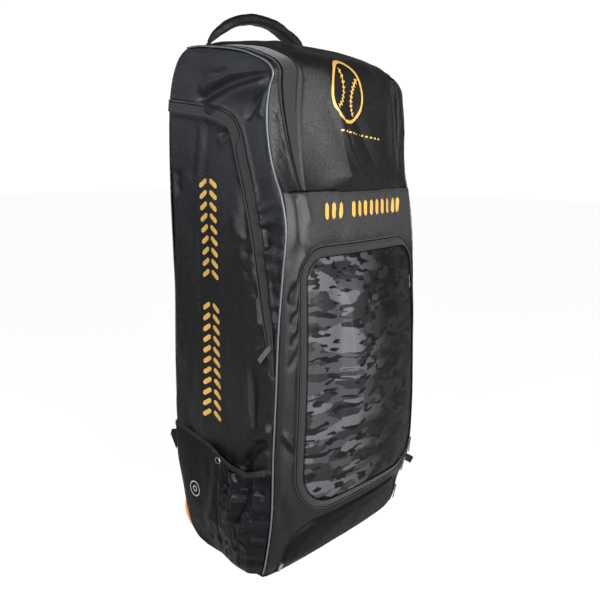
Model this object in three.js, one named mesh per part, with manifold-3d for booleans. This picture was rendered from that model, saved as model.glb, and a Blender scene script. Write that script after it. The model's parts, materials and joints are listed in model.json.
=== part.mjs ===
// Upright cricket kit bag on two wheels: a stuffed cloth body with a zipped lid, a camouflage
// front pocket, a boot compartment, a bat pocket and a lower pocket on each side, a grab handle,
// shoulder straps and a wheel in each lower rear corner.
// Millimetres, +Z up. The front faces -Y, the wheels are at the back, and the bag stands on z = 0.
import * as THREE from 'three';
import { mergeVertices } from 'three/addons/utils/BufferGeometryUtils.js';
import Module from 'manifold-3d';

const manifold = await Module();
manifold.setup();

// Body sizes
const bodyWidth = 385;
const bodyDepth = 270;
const panelHeight = 943;
const frontCrown = 50;
const rightFullness = 15;
const sideSwell = 9;
const clothWall = 2.2;
const seamGap = 0.3;
const baseWall = 3;
const pipingRadius = 2.4;
const creaseProud = 4.5;
const creaseTuck = 5;

// Lid sizes
const lidBandAtCrease = 9;
const lidBandAtBrow = 38;
const lidMarginAtCrease = 55.5;
const lidMarginAtBrow = 46.5;
const rightBrowInset = 26;
const lidProud = 4;

// Front pocket and boot compartment sizes
const pocketWidth = 354;
const pocketShift = 4;
const pocketTop = 609;
const pocketBottom = 120;
const pocketTopRadius = 58;
const pocketBottomRadius = 86;
const pocketBand = 21;
const pocketBandAtSides = 15;
const bootWidth = 352;
const bootTop = 104;
const bootRadius = 62;
const bootBand = 8;

// Side sizes
const batZipWidth = 26;
const tapeThickness = 1.2;
const sidePocketHeight = 226;
const sidePocketFullness = 23;
const bindingHeight = 10;
const bindingThickness = 3.2;

// Wheel sizes
const wheelRadius = 48;
const wheelWidth = 26;
const wheelLift = 2;
const wheelClearance = 4;
const wheelBackShare = 0.2852;
const wheelDepthPlace = wheelBackShare * bodyDepth;
const housingWall = 2.5;
const wheelSideGap = 4.5;
const hubRadius = 33;
const axleRadius = 5;
const runningGap = 0.5;

// Handle and strap sizes
const handleSpan = 272;
const handleShift = 10;
const handleRise = 77;
const sleeveWidth = 32;
const sleeveThickness = 21;
const handleFootGap = 4.5;
const handleWebWidth = 24;
const handleWebThickness = 3;
const strapPadWidth = 62;
const strapPadThickness = 11;
const strapWebWidth = 25;
const strapWebThickness = 2.4;
const anchorReach = 22;
const anchorHeight = 54;

// Pull sizes
const pullLength = 34;
const pullWidth = 9;
const frontPullWidth = 6;
const frontPullLength = 26;
const bootPullLength = 24;
const shortPullLength = 16;
const pullThickness = 2;
const sliderLength = 12;
const sliderWidth = 8;
const sliderThickness = 4;
const tabLength = 18;
const tabWidth = 15;
const ringRadius = 6;
const ringWire = 1.1;

const halfWidth = bodyWidth / 2;
const baseTop = baseWall + seamGap;

// The bag's outline seen from the side, from the front hem up over the top and down the back.
// back: share of the body depth. up: share of the height above the base. crown: how far the middle
// of the cloth stands out past the seams, as a share of frontCrown. steep: 1 where the crown rises
// steeply beside the seams, 0 where it is an even arch. lean: direction of the crown, 0 forwards,
// 90 up and 180 backwards. full: how much further out the right seam lies, as a share of rightFullness.
const outlineRows = [
  { place: 'hem', back: -0.452, up: 0.000, crown: 0.28, steep: 0.8, lean: 0, full: -0.2 },
  { place: 'toe', back: -0.476, up: 0.022, crown: 0.56, steep: 1.0, lean: 0, full: -0.1 },
  { place: 'boot', back: -0.515, up: 0.081, crown: 0.80, steep: 1.0, lean: 0, full: -0.3 },
  { place: 'pocket foot', back: -0.540, up: 0.144, crown: 0.88, steep: 1.0, lean: 0, full: 0.6 },
  { place: 'pocket low', back: -0.549, up: 0.248, crown: 0.92, steep: 1.0, lean: 0, full: 0.9 },
  { place: 'pocket middle', back: -0.570, up: 0.370, crown: 0.90, steep: 1.0, lean: 0, full: 0.3 },
  { place: 'pocket high', back: -0.590, up: 0.496, crown: 0.76, steep: 1.0, lean: 0, full: -0.3 },
  { place: 'pocket head', back: -0.626, up: 0.608, crown: 0.40, steep: 0.9, lean: 0, full: -1.0 },
  { place: 'name band', back: -0.643, up: 0.678, crown: 0.22, steep: 0.8, lean: 0, full: -1.7 },
  { place: 'step', back: -0.600, up: 0.731, crown: 0.14, steep: 0.8, lean: 0, full: -1.5 },
  { place: 'lid foot', back: -0.544, up: 0.765, crown: 0.22, steep: 0.8, lean: 0, full: -1.0 },
  { place: 'lid low', back: -0.488, up: 0.811, crown: 0.40, steep: 0.8, lean: 0, full: -0.3 },
  { place: 'lid middle', back: -0.456, up: 0.874, crown: 0.48, steep: 0.8, lean: 4, full: 0.2 },
  { place: 'lid high', back: -0.478, up: 0.917, crown: 0.44, steep: 0.7, lean: 14, full: -0.5 },
  { place: 'brow', back: -0.505, up: 0.939, crown: 0.40, steep: 0.6, lean: 36, full: -1.2 },
  { place: 'brow top', back: -0.470, up: 0.954, crown: 0.40, steep: 0.5, lean: 60, full: -1.1 },
  { place: 'top front', back: -0.400, up: 0.965, crown: 0.42, steep: 0.4, lean: 76, full: -0.6 },
  { place: 'top middle', back: -0.219, up: 0.983, crown: 0.44, steep: 0.2, lean: 88, full: 0.0 },
  { place: 'top rear', back: 0.104, up: 0.998, crown: 0.40, steep: 0.0, lean: 92, full: 0.0 },
  { place: 'top heel', back: 0.244, up: 1.000, crown: 0.34, steep: 0.0, lean: 98, full: 0.0 },
  { place: 'shoulder', back: 0.315, up: 0.996, crown: 0.30, steep: 0.0, lean: 110, full: 0.0 },
  { place: 'nape', back: 0.393, up: 0.980, crown: 0.24, steep: 0.1, lean: 132, full: 0.0 },
  { place: 'back top', back: 0.459, up: 0.944, crown: 0.18, steep: 0.3, lean: 160, full: 0.0 },
  { place: 'back high', back: 0.496, up: 0.889, crown: 0.16, steep: 0.5, lean: 180, full: 0.0 },
  { place: 'back upper', back: 0.507, up: 0.753, crown: 0.16, steep: 0.5, lean: 180, full: 0.0 },
  { place: 'back waist', back: 0.493, up: 0.612, crown: 0.16, steep: 0.5, lean: 180, full: 0.0 },
  { place: 'back middle', back: 0.482, up: 0.530, crown: 0.16, steep: 0.5, lean: 180, full: 0.0 },
  { place: 'back lower', back: 0.492, up: 0.357, crown: 0.14, steep: 0.5, lean: 180, full: 0.0 },
  { place: 'back low', back: 0.470, up: 0.178, crown: 0.08, steep: 0.5, lean: 180, full: 0.0 },
  { place: 'heel top', back: 0.412, up: 0.111, crown: 0.00, steep: 0.5, lean: 180, full: 0.0 },
  { place: 'heel', back: 0.368, up: 0.062, crown: 0.00, steep: 0.5, lean: 180, full: 0.0 },
  { place: 'heel turn', back: 0.316, up: 0.026, crown: 0.00, steep: 0.5, lean: 180, full: 0.0 },
  { place: 'heel under', back: 0.235, up: 0.006, crown: 0.00, steep: 0.5, lean: 180, full: 0.0 },
  { place: 'base rear', back: 0.150, up: 0.000, crown: 0.00, steep: 0.5, lean: 180, full: 0.0 },
];
const stationOf = (place) => outlineRows.findIndex((row) => row.place === place);
const lastFront = stationOf('top heel') + 0.5;
const creaseStation = stationOf('step') + 0.25;
const heelStation = stationOf('heel top') + 0.17;

// Distances along the outline, so that the curve through the rows is even where they are close.
const outlineKnots = outlineRows.reduce((knots, row, index) => {
  if (index === 0) return [0];
  const before = outlineRows[index - 1];
  const step = Math.hypot((row.back - before.back) * bodyDepth, (row.up - before.up) * panelHeight);
  return [...knots, knots[index - 1] + step];
}, []);

// A smooth curve through one column of a table, at a place counted in rows.
function smoothColumn(rows, knots, column, station) {
  const last = rows.length - 1;
  const low = Math.min(Math.max(Math.floor(station), 0), last - 1);
  const slopeAt = (index) => {
    const from = Math.max(index - 1, 0);
    const to = Math.min(index + 1, last);
    return (rows[to][column] - rows[from][column]) / (knots[to] - knots[from]);
  };
  const span = knots[low + 1] - knots[low];
  const t = station - low;
  const startShare = 2 * t ** 3 - 3 * t ** 2 + 1;
  const startSlope = t ** 3 - 2 * t ** 2 + t;
  const endSlope = t ** 3 - t ** 2;
  return startShare * rows[low][column] + (1 - startShare) * rows[low + 1][column]
    + span * (startSlope * slopeAt(low) + endSlope * slopeAt(low + 1));
}

const outlineValue = (column, station) => smoothColumn(outlineRows, outlineKnots, column, station);

// Straight reading of a short table: the value of one column where another one has a given value.
function readTable(rows, keyColumn, valueColumn, key) {
  const rising = rows[rows.length - 1][keyColumn] >= rows[0][keyColumn];
  const ordered = rising ? rows : [...rows].reverse();
  let index = ordered.findIndex((row) => row[keyColumn] >= key);
  if (index < 0) index = ordered.length - 1;
  if (index === 0) index = 1;
  const low = ordered[index - 1];
  const high = ordered[index];
  const share = THREE.MathUtils.clamp((key - low[keyColumn]) / (high[keyColumn] - low[keyColumn]), 0, 1);
  return THREE.MathUtils.lerp(low[valueColumn], high[valueColumn], share);
}

// Broad dents of the sides. back, up, long and tall are shares of the body depth and panel height,
// turn is the dent's slope in degrees, and deep is in millimetres (less than nought stands out).
const sideDents = [
  { name: 'brow pleat', back: -0.06, up: 0.915, long: 0.30, tall: 0.022, turn: 18, deep: 4 },
  { name: 'brow ridge', back: -0.10, up: 0.960, long: 0.24, tall: 0.020, turn: 8, deep: -2 },
  { name: 'waist hollow', back: 0.18, up: 0.560, long: 0.22, tall: 0.120, turn: 0, deep: 4 },
  { name: 'waist ridge', back: -0.14, up: 0.480, long: 0.12, tall: 0.150, turn: 0, deep: -2 },
];
const dentDepth = (y, z) => sideDents.reduce((total, dent) => {
  const turn = THREE.MathUtils.degToRad(dent.turn);
  const across = y - dent.back * bodyDepth;
  const height = z - dent.up * panelHeight;
  const along = (across * Math.cos(turn) + height * Math.sin(turn)) / (dent.long * bodyDepth);
  const aside = (height * Math.cos(turn) - across * Math.sin(turn)) / (dent.tall * panelHeight);
  return total + dent.deep * Math.exp(-(along ** 2) - aside ** 2);
}, 0);

// Half of the body's width at a place on its side: the stuffed front swells, but not near the top.
function halfWidthAt(y, z) {
  const forward = THREE.MathUtils.smoothstep(0.5 - y / bodyDepth, 0, 1);
  const belowTop = 1 - THREE.MathUtils.smoothstep(z / panelHeight, 0.58, 1);
  return halfWidth + sideSwell * forward * belowTop - dentDepth(y, z);
}

// A point of the side seam. side is -1 on the left and 1 on the right.
function seamPoint(station, side) {
  const fullness = side > 0 ? outlineValue('full', station) * rightFullness : 0;
  const y = outlineValue('back', station) * bodyDepth - fullness;
  const z = baseTop + outlineValue('up', station) * (panelHeight - baseTop);
  return new THREE.Vector3(side * halfWidthAt(y, z), y, z);
}

// The seam moved inwards in the plane of the side panel.
function insetSeamPoint(station, side, inset) {
  const step = 0.05;
  const before = seamPoint(Math.max(station - step, 0), side);
  const after = seamPoint(Math.min(station + step, outlineRows.length - 1), side);
  const tangent = after.sub(before).setX(0).normalize();
  const point = seamPoint(station, side);
  const y = point.y + inset * tangent.z;
  const z = Math.max(point.z - inset * tangent.y, baseTop);
  return new THREE.Vector3(side * halfWidthAt(y, z), y, z);
}

// The crown across the bag: nought at the seams and full in the middle.
const crownPower = 2.2;
function crownShape(across, steep = 1) {
  const outerPower = THREE.MathUtils.lerp(1, crownPower, THREE.MathUtils.clamp(steep, 0, 1));
  return Math.max(1 - Math.abs(across) ** crownPower, 0) ** (1 / outerPower);
}

// The main folds of the front: where their line lies, how it leans, and how they stand out or in.
// place and drift are shares of the half width, up and reach of the panel height, wide of the half
// width, and height of frontCrown.
const frontFolds = [
  { name: 'pocket crest', place: -0.22, up: 0.45, reach: 0.17, drift: -0.10, wide: 0.13, height: 0.16 },
  { name: 'lid pleat', place: 0.10, up: 0.82, reach: 0.07, drift: 0.25, wide: 0.10, height: -0.10 },
];
function foldHeight(across, z) {
  return frontFolds.reduce((total, fold) => {
    const along = (z / panelHeight - fold.up) / fold.reach;
    const aside = (across - fold.place + fold.drift * along) / fold.wide;
    return total + fold.height * frontCrown * Math.exp(-(along ** 2) - aside ** 2);
  }, 0);
}

// The cloth that wraps the front, top and back. across runs from -1 at the left seam to 1.
function wrapPoint(station, across, proud = 0) {
  const left = seamPoint(station, -1);
  const right = seamPoint(station, 1);
  const share = (across + 1) / 2;
  const lean = THREE.MathUtils.degToRad(outlineValue('lean', station));
  const crown = Math.max(outlineValue('crown', station), 0) * frontCrown;
  const front = left.y < 0 ? foldHeight(across, left.z) : 0;
  const rise = crown * crownShape(across, outlineValue('steep', station)) + front + proud;
  return new THREE.Vector3(
    THREE.MathUtils.lerp(left.x, right.x, share),
    THREE.MathUtils.lerp(left.y, right.y, share) - rise * Math.cos(lean),
    left.z + rise * Math.sin(lean),
  );
}

// The outward direction of the wrap cloth, by small steps along it and across it.
function wrapNormal(station, across) {
  const stationStep = 0.02;
  const acrossStep = 0.002;
  const left = Math.max(across - acrossStep, -1);
  const right = Math.min(across + acrossStep, 1);
  const below = Math.max(station - stationStep, 0);
  const above = Math.min(station + stationStep, outlineRows.length - 1);
  const along = wrapPoint(above, across).sub(wrapPoint(below, across));
  const sideways = wrapPoint(station, right).sub(wrapPoint(station, left));
  return sideways.cross(along).normalize();
}

// How far across the wrap cloth reaches before it meets the piping.
function wrapReach(station, side) {
  const seam = seamPoint(station, side);
  const step = 0.05;
  const along = seamPoint(station + step, side).sub(seamPoint(Math.max(station - step, 0), side)).normalize();
  const clearance = pipingRadius + seamGap + 0.1;
  const distance = (across) => {
    const offset = wrapPoint(station, side * across).sub(seam);
    return offset.addScaledVector(along, -offset.dot(along)).length();
  };
  let near = 0.9;
  let far = 1;
  for (let round = 0; round < 24; round += 1) {
    const middle = (near + far) / 2;
    if (distance(middle) > clearance) near = middle;
    else far = middle;
  }
  return near;
}

// Mesh helpers
function closedGeometry(positions, triangles) {
  const geometry = new THREE.BufferGeometry();
  geometry.setAttribute('position', new THREE.Float32BufferAttribute(positions, 3));
  geometry.setIndex(triangles);
  return signedVolume(geometry) < 0 ? turnedInsideOut(geometry) : geometry;
}

function signedVolume(geometry) {
  const place = geometry.getAttribute('position');
  const index = geometry.getIndex().array;
  const corner = [new THREE.Vector3(), new THREE.Vector3(), new THREE.Vector3()];
  let volume = 0;
  for (let i = 0; i < index.length; i += 3) {
    corner.forEach((point, k) => point.fromBufferAttribute(place, index[i + k]));
    volume += corner[0].dot(corner[1].clone().cross(corner[2])) / 6;
  }
  return volume;
}

function turnedInsideOut(geometry) {
  const index = Array.from(geometry.getIndex().array);
  for (let i = 0; i < index.length; i += 3) [index[i + 1], index[i + 2]] = [index[i + 2], index[i + 1]];
  geometry.setIndex(index);
  return geometry;
}

// A closed slab between two grids of the same size.
function slabGeometry(outer, inner) {
  const rows = outer.length;
  const columns = outer[0].length;
  const positions = [...outer.flat(), ...inner.flat()].flatMap((point) => point.toArray());
  const outerAt = (i, j) => i * columns + j;
  const innerAt = (i, j) => rows * columns + i * columns + j;
  const triangles = [];
  const quad = (a, b, c, d) => triangles.push(a, b, c, a, c, d);
  for (let i = 0; i + 1 < rows; i += 1) {
    for (let j = 0; j + 1 < columns; j += 1) {
      quad(outerAt(i, j), outerAt(i + 1, j), outerAt(i + 1, j + 1), outerAt(i, j + 1));
      quad(innerAt(i, j), innerAt(i, j + 1), innerAt(i + 1, j + 1), innerAt(i + 1, j));
    }
  }
  for (let i = 0; i + 1 < rows; i += 1) {
    quad(outerAt(i, 0), innerAt(i, 0), innerAt(i + 1, 0), outerAt(i + 1, 0));
    quad(outerAt(i, columns - 1), outerAt(i + 1, columns - 1), innerAt(i + 1, columns - 1), innerAt(i, columns - 1));
  }
  for (let j = 0; j + 1 < columns; j += 1) {
    quad(outerAt(0, j), outerAt(0, j + 1), innerAt(0, j + 1), innerAt(0, j));
    quad(outerAt(rows - 1, j), innerAt(rows - 1, j), innerAt(rows - 1, j + 1), outerAt(rows - 1, j + 1));
  }
  return closedGeometry(positions, triangles);
}

// A tube of any section along a path. frames gives the place and the two section axes at each step.
function sweptGeometry(frames, section) {
  const sides = section.length;
  const positions = frames.flatMap(({ point, wide, thick }) => section.flatMap(([a, b]) => (
    point.clone().addScaledVector(wide, a).addScaledVector(thick, b).toArray())));
  const triangles = [];
  for (let i = 0; i + 1 < frames.length; i += 1) {
    for (let j = 0; j < sides; j += 1) {
      const next = (j + 1) % sides;
      const a = i * sides + j;
      const b = i * sides + next;
      const c = (i + 1) * sides + next;
      const d = (i + 1) * sides + j;
      triangles.push(a, b, c, a, c, d);
    }
  }
  const lastRing = (frames.length - 1) * sides;
  for (let j = 1; j + 1 < sides; j += 1) {
    triangles.push(0, j + 1, j);
    triangles.push(lastRing, lastRing + j, lastRing + j + 1);
  }
  return closedGeometry(positions, triangles);
}

// Frames along a list of points, with the wide axis held near a chosen direction.
function framesAlong(points, wideHint) {
  const end = points.length - 1;
  return points.map((point, i) => {
    const tangent = points[Math.min(i + 1, end)].clone().sub(points[Math.max(i - 1, 0)]).normalize();
    const wide = wideHint(i).clone().addScaledVector(tangent, -wideHint(i).dot(tangent)).normalize();
    return { point, wide, thick: tangent.clone().cross(wide) };
  });
}

const ovalSection = (width, thickness, sides) => Array.from({ length: sides }, (_, i) => {
  const angle = (2 * Math.PI * (i + 0.5)) / sides;
  return [Math.cos(angle) * width / 2, Math.sin(angle) * thickness / 2];
});

const flatSection = (width, thickness) => [
  [-width / 2, -thickness / 2], [width / 2, -thickness / 2], [width / 2, thickness / 2], [-width / 2, thickness / 2]];

// A padded section: flat faces with rounded edges.
function paddedSection(width, thickness) {
  const edge = thickness / 2;
  const flat = width / 2 - edge;
  return [[-flat, -edge], [flat, -edge], [width / 2, -edge / 2.2], [width / 2, edge / 2.2],
    [flat, edge], [-flat, edge], [-width / 2, edge / 2.2], [-width / 2, -edge / 2.2]];
}

function toSolid(geometry) {
  const bare = geometry.clone();
  bare.deleteAttribute('normal');
  bare.deleteAttribute('uv');
  const merged = mergeVertices(bare, 1e-4);
  return new manifold.Manifold(new manifold.Mesh({
    numProp: 3,
    vertProperties: new Float32Array(merged.getAttribute('position').array),
    triVerts: new Uint32Array(merged.getIndex().array),
  }));
}

function toGeometry(solid) {
  const result = solid.getMesh();
  const geometry = new THREE.BufferGeometry();
  geometry.setAttribute('position', new THREE.Float32BufferAttribute(Array.from(result.vertProperties), 3));
  geometry.setIndex(Array.from(result.triVerts));
  return geometry;
}

// An upright rounded outline in the front's plane, with its own radius at the top and the bottom.
function roundedOutline(width, bottom, top, bottomRadius, topRadius) {
  const shape = new THREE.Shape();
  const half = width / 2;
  shape.moveTo(-half + bottomRadius, bottom);
  shape.lineTo(half - bottomRadius, bottom);
  shape.absarc(half - bottomRadius, bottom + bottomRadius, bottomRadius, -Math.PI / 2, 0, false);
  shape.lineTo(half, top - topRadius);
  shape.absarc(half - topRadius, top - topRadius, topRadius, 0, Math.PI / 2, false);
  shape.lineTo(-half + topRadius, top);
  shape.absarc(-half + topRadius, top - topRadius, topRadius, Math.PI / 2, Math.PI, false);
  shape.lineTo(-half, bottom + bottomRadius);
  shape.absarc(-half + bottomRadius, bottom + bottomRadius, bottomRadius, Math.PI, 1.5 * Math.PI, false);
  return shape;
}
const arcSteps = 6;

// A cutter through the front: the outline carried from the bag's middle out past its front.
function frontCutter(outline, shift = 0) {
  const geometry = new THREE.ExtrudeGeometry(outline, {
    depth: bodyDepth * 1.5, bevelEnabled: false, curveSegments: arcSteps });
  geometry.rotateX(Math.PI / 2);
  geometry.translate(shift, 0, 0);
  return toSolid(geometry);
}

// Materials
const finish = (color, roughness, metalness = 0) => new THREE.MeshStandardMaterial({ color, roughness, metalness });
const blackCloth = finish(0x17181b, 0.8);
const tapeCloth = finish(0x23241f, 0.85);
const camoCloth = finish(0x3a3b3d, 0.7);
const reflectiveCord = finish(0x8d9096, 0.4);
const webbingCloth = finish(0x101113, 0.9);
const blackPlastic = finish(0x121314, 0.5);
const pullMetal = finish(0x55575a, 0.35, 0.8);
const amberTyre = finish(0xe08a1e, 0.5);
const axleSteel = finish(0x8c8f92, 0.3, 1);

const bag = new THREE.Group();
function addPiece(name, geometry, material) {
  const piece = new THREE.Mesh(geometry, material);
  piece.name = name;
  bag.add(piece);
}

const backwards = new THREE.Vector3(0, 1, 0);
const sideways = (side) => new THREE.Vector3(side, 0, 0);
const sideNames = [{ side: -1, word: 'left' }, { side: 1, word: 'right' }];
const evenSteps = (from, to, count) => Array.from({ length: count + 1 }, (_, i) => from + ((to - from) * i) / count);

// Stations shared by the side panels, the piping and the cloth between them.
const lowerStations = [0, ...evenSteps(0.5, 8, 11), stationOf('name band') + 0.6, creaseStation];
const upperStations = [creaseStation, ...evenSteps(stationOf('lid foot'), stationOf('top rear'), 13), lastFront];
const frontStations = [...lowerStations, ...upperStations.slice(1)];

// Side panels
function backStationFor(frontStation) {
  const { z } = seamPoint(frontStation, -1);
  const top = stationOf('back top');
  const brow = stationOf('brow');
  if (frontStation >= brow) {
    const share = (frontStation - brow) / (lastFront - brow);
    return THREE.MathUtils.lerp(top, lastFront + 0.3, share);
  }
  let near = top;
  let far = outlineRows.length - 1;
  for (let round = 0; round < 24; round += 1) {
    const middle = (near + far) / 2;
    if (seamPoint(middle, -1).z > z) near = middle;
    else far = middle;
  }
  return (near + far) / 2;
}

function sidePanel(side) {
  const inset = pipingRadius + seamGap;
  const columns = 5;
  const grid = frontStations.map((station) => {
    const front = insetSeamPoint(station, side, inset);
    const rear = seamPoint(backStationFor(station), -1);
    return evenSteps(0, 1, columns).map((share) => {
      const y = THREE.MathUtils.lerp(front.y, rear.y, share);
      const z = THREE.MathUtils.lerp(front.z, rear.z, share);
      return new THREE.Vector3(side * halfWidthAt(y, z), y, z);
    });
  });
  const inner = grid.map((row) => row.map((point) => point.clone().setX(point.x - side * clothWall)));
  return slabGeometry(grid, inner);
}

// Piping along the front and top seams
function pipingCord(side) {
  const start = 0.15;
  const points = frontStations.map((station) => seamPoint(Math.max(station, start), side));
  return sweptGeometry(framesAlong(points, () => sideways(side)), ovalSection(2 * pipingRadius, 2 * pipingRadius, 6));
}

// Wrap cloth between two limits across, at a list of stations. Limits are functions of the station.
function wrapSheet(stations, fromAcross, toAcross, columns, proud = () => 0) {
  const spread = (across) => Math.asin(THREE.MathUtils.clamp(across, -1, 1));
  const places = stations.map((station) => (
    evenSteps(spread(fromAcross(station)), spread(toAcross(station)), columns)
      .map((angle) => ({ station, across: Math.sin(angle) }))));
  const outer = places.map((row) => row.map(({ station, across }) => wrapPoint(station, across, proud(station))));
  const inner = places.map((row, i) => row.map(({ station, across }, j) => (
    outer[i][j].clone().addScaledVector(wrapNormal(station, across), -clothWall))));
  return slabGeometry(outer, inner);
}

// Lid edges, as shares of the half width, on the upper front and over the top
function lidEdge(station, side) {
  const share = THREE.MathUtils.smoothstep(station, creaseStation, stationOf('brow'));
  const marginAtBrow = side > 0 ? lidMarginAtBrow + rightBrowInset : lidMarginAtBrow;
  return 1 - THREE.MathUtils.lerp(lidMarginAtCrease, marginAtBrow, share) / halfWidth;
}
function lidBandWidth(station) {
  const share = THREE.MathUtils.smoothstep(station, creaseStation, stationOf('brow'));
  return THREE.MathUtils.lerp(lidBandAtCrease, lidBandAtBrow, share) / halfWidth;
}
const halfGapAcross = seamGap / 2 / halfWidth;
const bandOuterEdge = (station, side) => Math.min(lidEdge(station, side) + lidBandWidth(station), 0.955);

// The tucked start of the upper pieces, just behind the step of the lower front.
const tuckedStations = [creaseStation - creaseTuck / 50, ...upperStations];

// Lower front, cut into the panel, the pocket, the boot compartment and their zip bands
function creaseProudAt(station) {
  const rise = THREE.MathUtils.smoothstep(station, stationOf('name band') - 0.4, creaseStation);
  return creaseProud * rise;
}
const lowerFront = toSolid(wrapSheet(
  lowerStations, (station) => -wrapReach(station, -1), (station) => wrapReach(station, 1), 12, creaseProudAt));

const pocketOutline = (shrink, shrinkSides) => roundedOutline(
  pocketWidth - 2 * shrinkSides, pocketBottom + shrink, pocketTop - shrink,
  pocketBottomRadius - shrink, pocketTopRadius - shrink);
const bootOutline = (shrink) => roundedOutline(
  bootWidth - 2 * shrink, -bootRadius * 2, bootTop - shrink, bootRadius / 2, bootRadius - shrink);

const gapHalf = seamGap / 2;
const pocketHole = frontCutter(pocketOutline(-gapHalf, -gapHalf), pocketShift);
const pocketEdge = frontCutter(pocketOutline(gapHalf, gapHalf), pocketShift);
const pocketInnerHole = frontCutter(pocketOutline(pocketBand - gapHalf, pocketBandAtSides - gapHalf), pocketShift);
const pocketInner = frontCutter(pocketOutline(pocketBand + gapHalf, pocketBandAtSides + gapHalf), pocketShift);
const bootHole = frontCutter(bootOutline(-gapHalf));
const bootEdge = frontCutter(bootOutline(gapHalf));
const bootInnerHole = frontCutter(bootOutline(bootBand - gapHalf));
const bootInner = frontCutter(bootOutline(bootBand + gapHalf));

addPiece('lower_front_panel', toGeometry(lowerFront.subtract(pocketHole).subtract(bootHole)), blackCloth);
addPiece('front_pocket_zip_band', toGeometry(lowerFront.intersect(pocketEdge).subtract(pocketInnerHole)), tapeCloth);
addPiece('front_pocket_panel', toGeometry(lowerFront.intersect(pocketInner)), camoCloth);
addPiece('boot_zip_band', toGeometry(lowerFront.intersect(bootEdge).subtract(bootInnerHole)), tapeCloth);
addPiece('boot_panel', toGeometry(lowerFront.intersect(bootInner)), blackCloth);

// Lid, over the upper front and the top, where its cloth stands above the zip tapes
const lidProudAt = (station) => (
  lidProud * THREE.MathUtils.smoothstep(station, stationOf('lid low'), stationOf('top middle')));
addPiece('lid_panel', wrapSheet(
  tuckedStations,
  (station) => -lidEdge(station, -1) + halfGapAcross,
  (station) => lidEdge(station, 1) - halfGapAcross, 8, lidProudAt), blackCloth);

// Back panel, from behind the lid to the heel
const backStations = [
  lastFront + seamGap / 15, ...evenSteps(stationOf('shoulder'), stationOf('back low'), 12), stationOf('heel top'), heelStation];
const backReach = (halfWidth - clothWall - seamGap) / halfWidth;
addPiece('back_panel', wrapSheet(
  backStations, () => -backReach, () => backReach, 6), blackCloth);

sideNames.forEach(({ side, word }) => {
  const ordered = (inner, outer) => (side < 0
    ? [(station) => -outer(station), (station) => -inner(station)] : [inner, outer]);
  addPiece(`side_panel_${word}`, sidePanel(side), blackCloth);
  addPiece(`piping_${word}`, pipingCord(side), reflectiveCord);
  addPiece(`lid_zip_band_${word}`, wrapSheet(tuckedStations, ...ordered(
    (station) => lidEdge(station, side) + halfGapAcross,
    (station) => bandOuterEdge(station, side) - halfGapAcross), 1), tapeCloth);
  addPiece(`upper_front_strip_${word}`, wrapSheet(tuckedStations, ...ordered(
    (station) => bandOuterEdge(station, side) + halfGapAcross,
    (station) => wrapReach(station, side)), 2), blackCloth);
});

// Base panel, under the hems of the front, sides and back
function basePanel() {
  const columns = 12;
  const rearY = seamPoint(outlineRows.length - 1, -1).y;
  const outer = evenSteps(-1, 1, columns).map((share) => wrapPoint(0, Math.sin(share * Math.PI / 2)));
  const grid = evenSteps(0, 1, 3).map((toRear) => outer.map((point) => {
    const y = THREE.MathUtils.lerp(point.y, rearY, toRear);
    return new THREE.Vector3(point.x * halfWidthAt(y, 0) / outer[columns].x, y, 0);
  }));
  const top = grid.map((row) => row.map((point) => point.clone().setZ(baseWall)));
  return slabGeometry(grid, top);
}
addPiece('base_panel', basePanel(), blackPlastic);

// Bat pocket zip on each side. back and up are shares of the body depth and panel height, and wide
// of the zip's width.
const batZipRows = [
  { back: 0.488, up: 0.898, wide: 0.80 }, { back: 0.238, up: 0.889, wide: 0.80 }, { back: 0.071, up: 0.882, wide: 0.80 },
  { back: -0.057, up: 0.873, wide: 0.82 }, { back: -0.135, up: 0.862, wide: 0.86 }, { back: -0.182, up: 0.846, wide: 0.92 },
  { back: -0.206, up: 0.829, wide: 1.00 }, { back: -0.257, up: 0.785, wide: 1.00 }, { back: -0.310, up: 0.742, wide: 1.00 },
  { back: -0.396, up: 0.655, wide: 0.98 }, { back: -0.454, up: 0.567, wide: 0.90 }, { back: -0.500, up: 0.500, wide: 0.80 },
  { back: -0.528, up: 0.450, wide: 0.55 }, { back: -0.544, up: 0.412, wide: 0.30 },
];
const batPullHeight = 0.462;

// A flat tape laid on the side panel along a table of places.
function sideTape(rows, width, thickness, side) {
  const centres = rows.map((row) => new THREE.Vector2(row.back * bodyDepth, row.up * panelHeight));
  const end = centres.length - 1;
  const grid = centres.map((centre, i) => {
    const tangent = centres[Math.min(i + 1, end)].clone().sub(centres[Math.max(i - 1, 0)]).normalize();
    return [-0.5, 0, 0.5].map((share) => {
      const aside = width * rows[i].wide * share;
      const y = centre.x - tangent.y * aside;
      const z = centre.y + tangent.x * aside;
      return new THREE.Vector3(side * (halfWidthAt(y, z) + thickness + seamGap), y, z);
    });
  });
  const inner = grid.map((row) => row.map((point) => point.clone().setX(point.x - side * thickness)));
  return slabGeometry(grid, inner);
}

// Lower side pockets: an open-mouthed pouch from the base to a dipping elastic edge.
const pocketMouthRows = [
  { back: 0.49, up: 1.00 }, { back: 0.29, up: 0.965 }, { back: 0.05, up: 0.925 }, { back: -0.06, up: 0.88 },
  { back: -0.19, up: 0.845 }, { back: -0.34, up: 0.835 }, { back: -0.45, up: 0.885 }, { back: -0.56, up: 0.94 },
];
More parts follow.
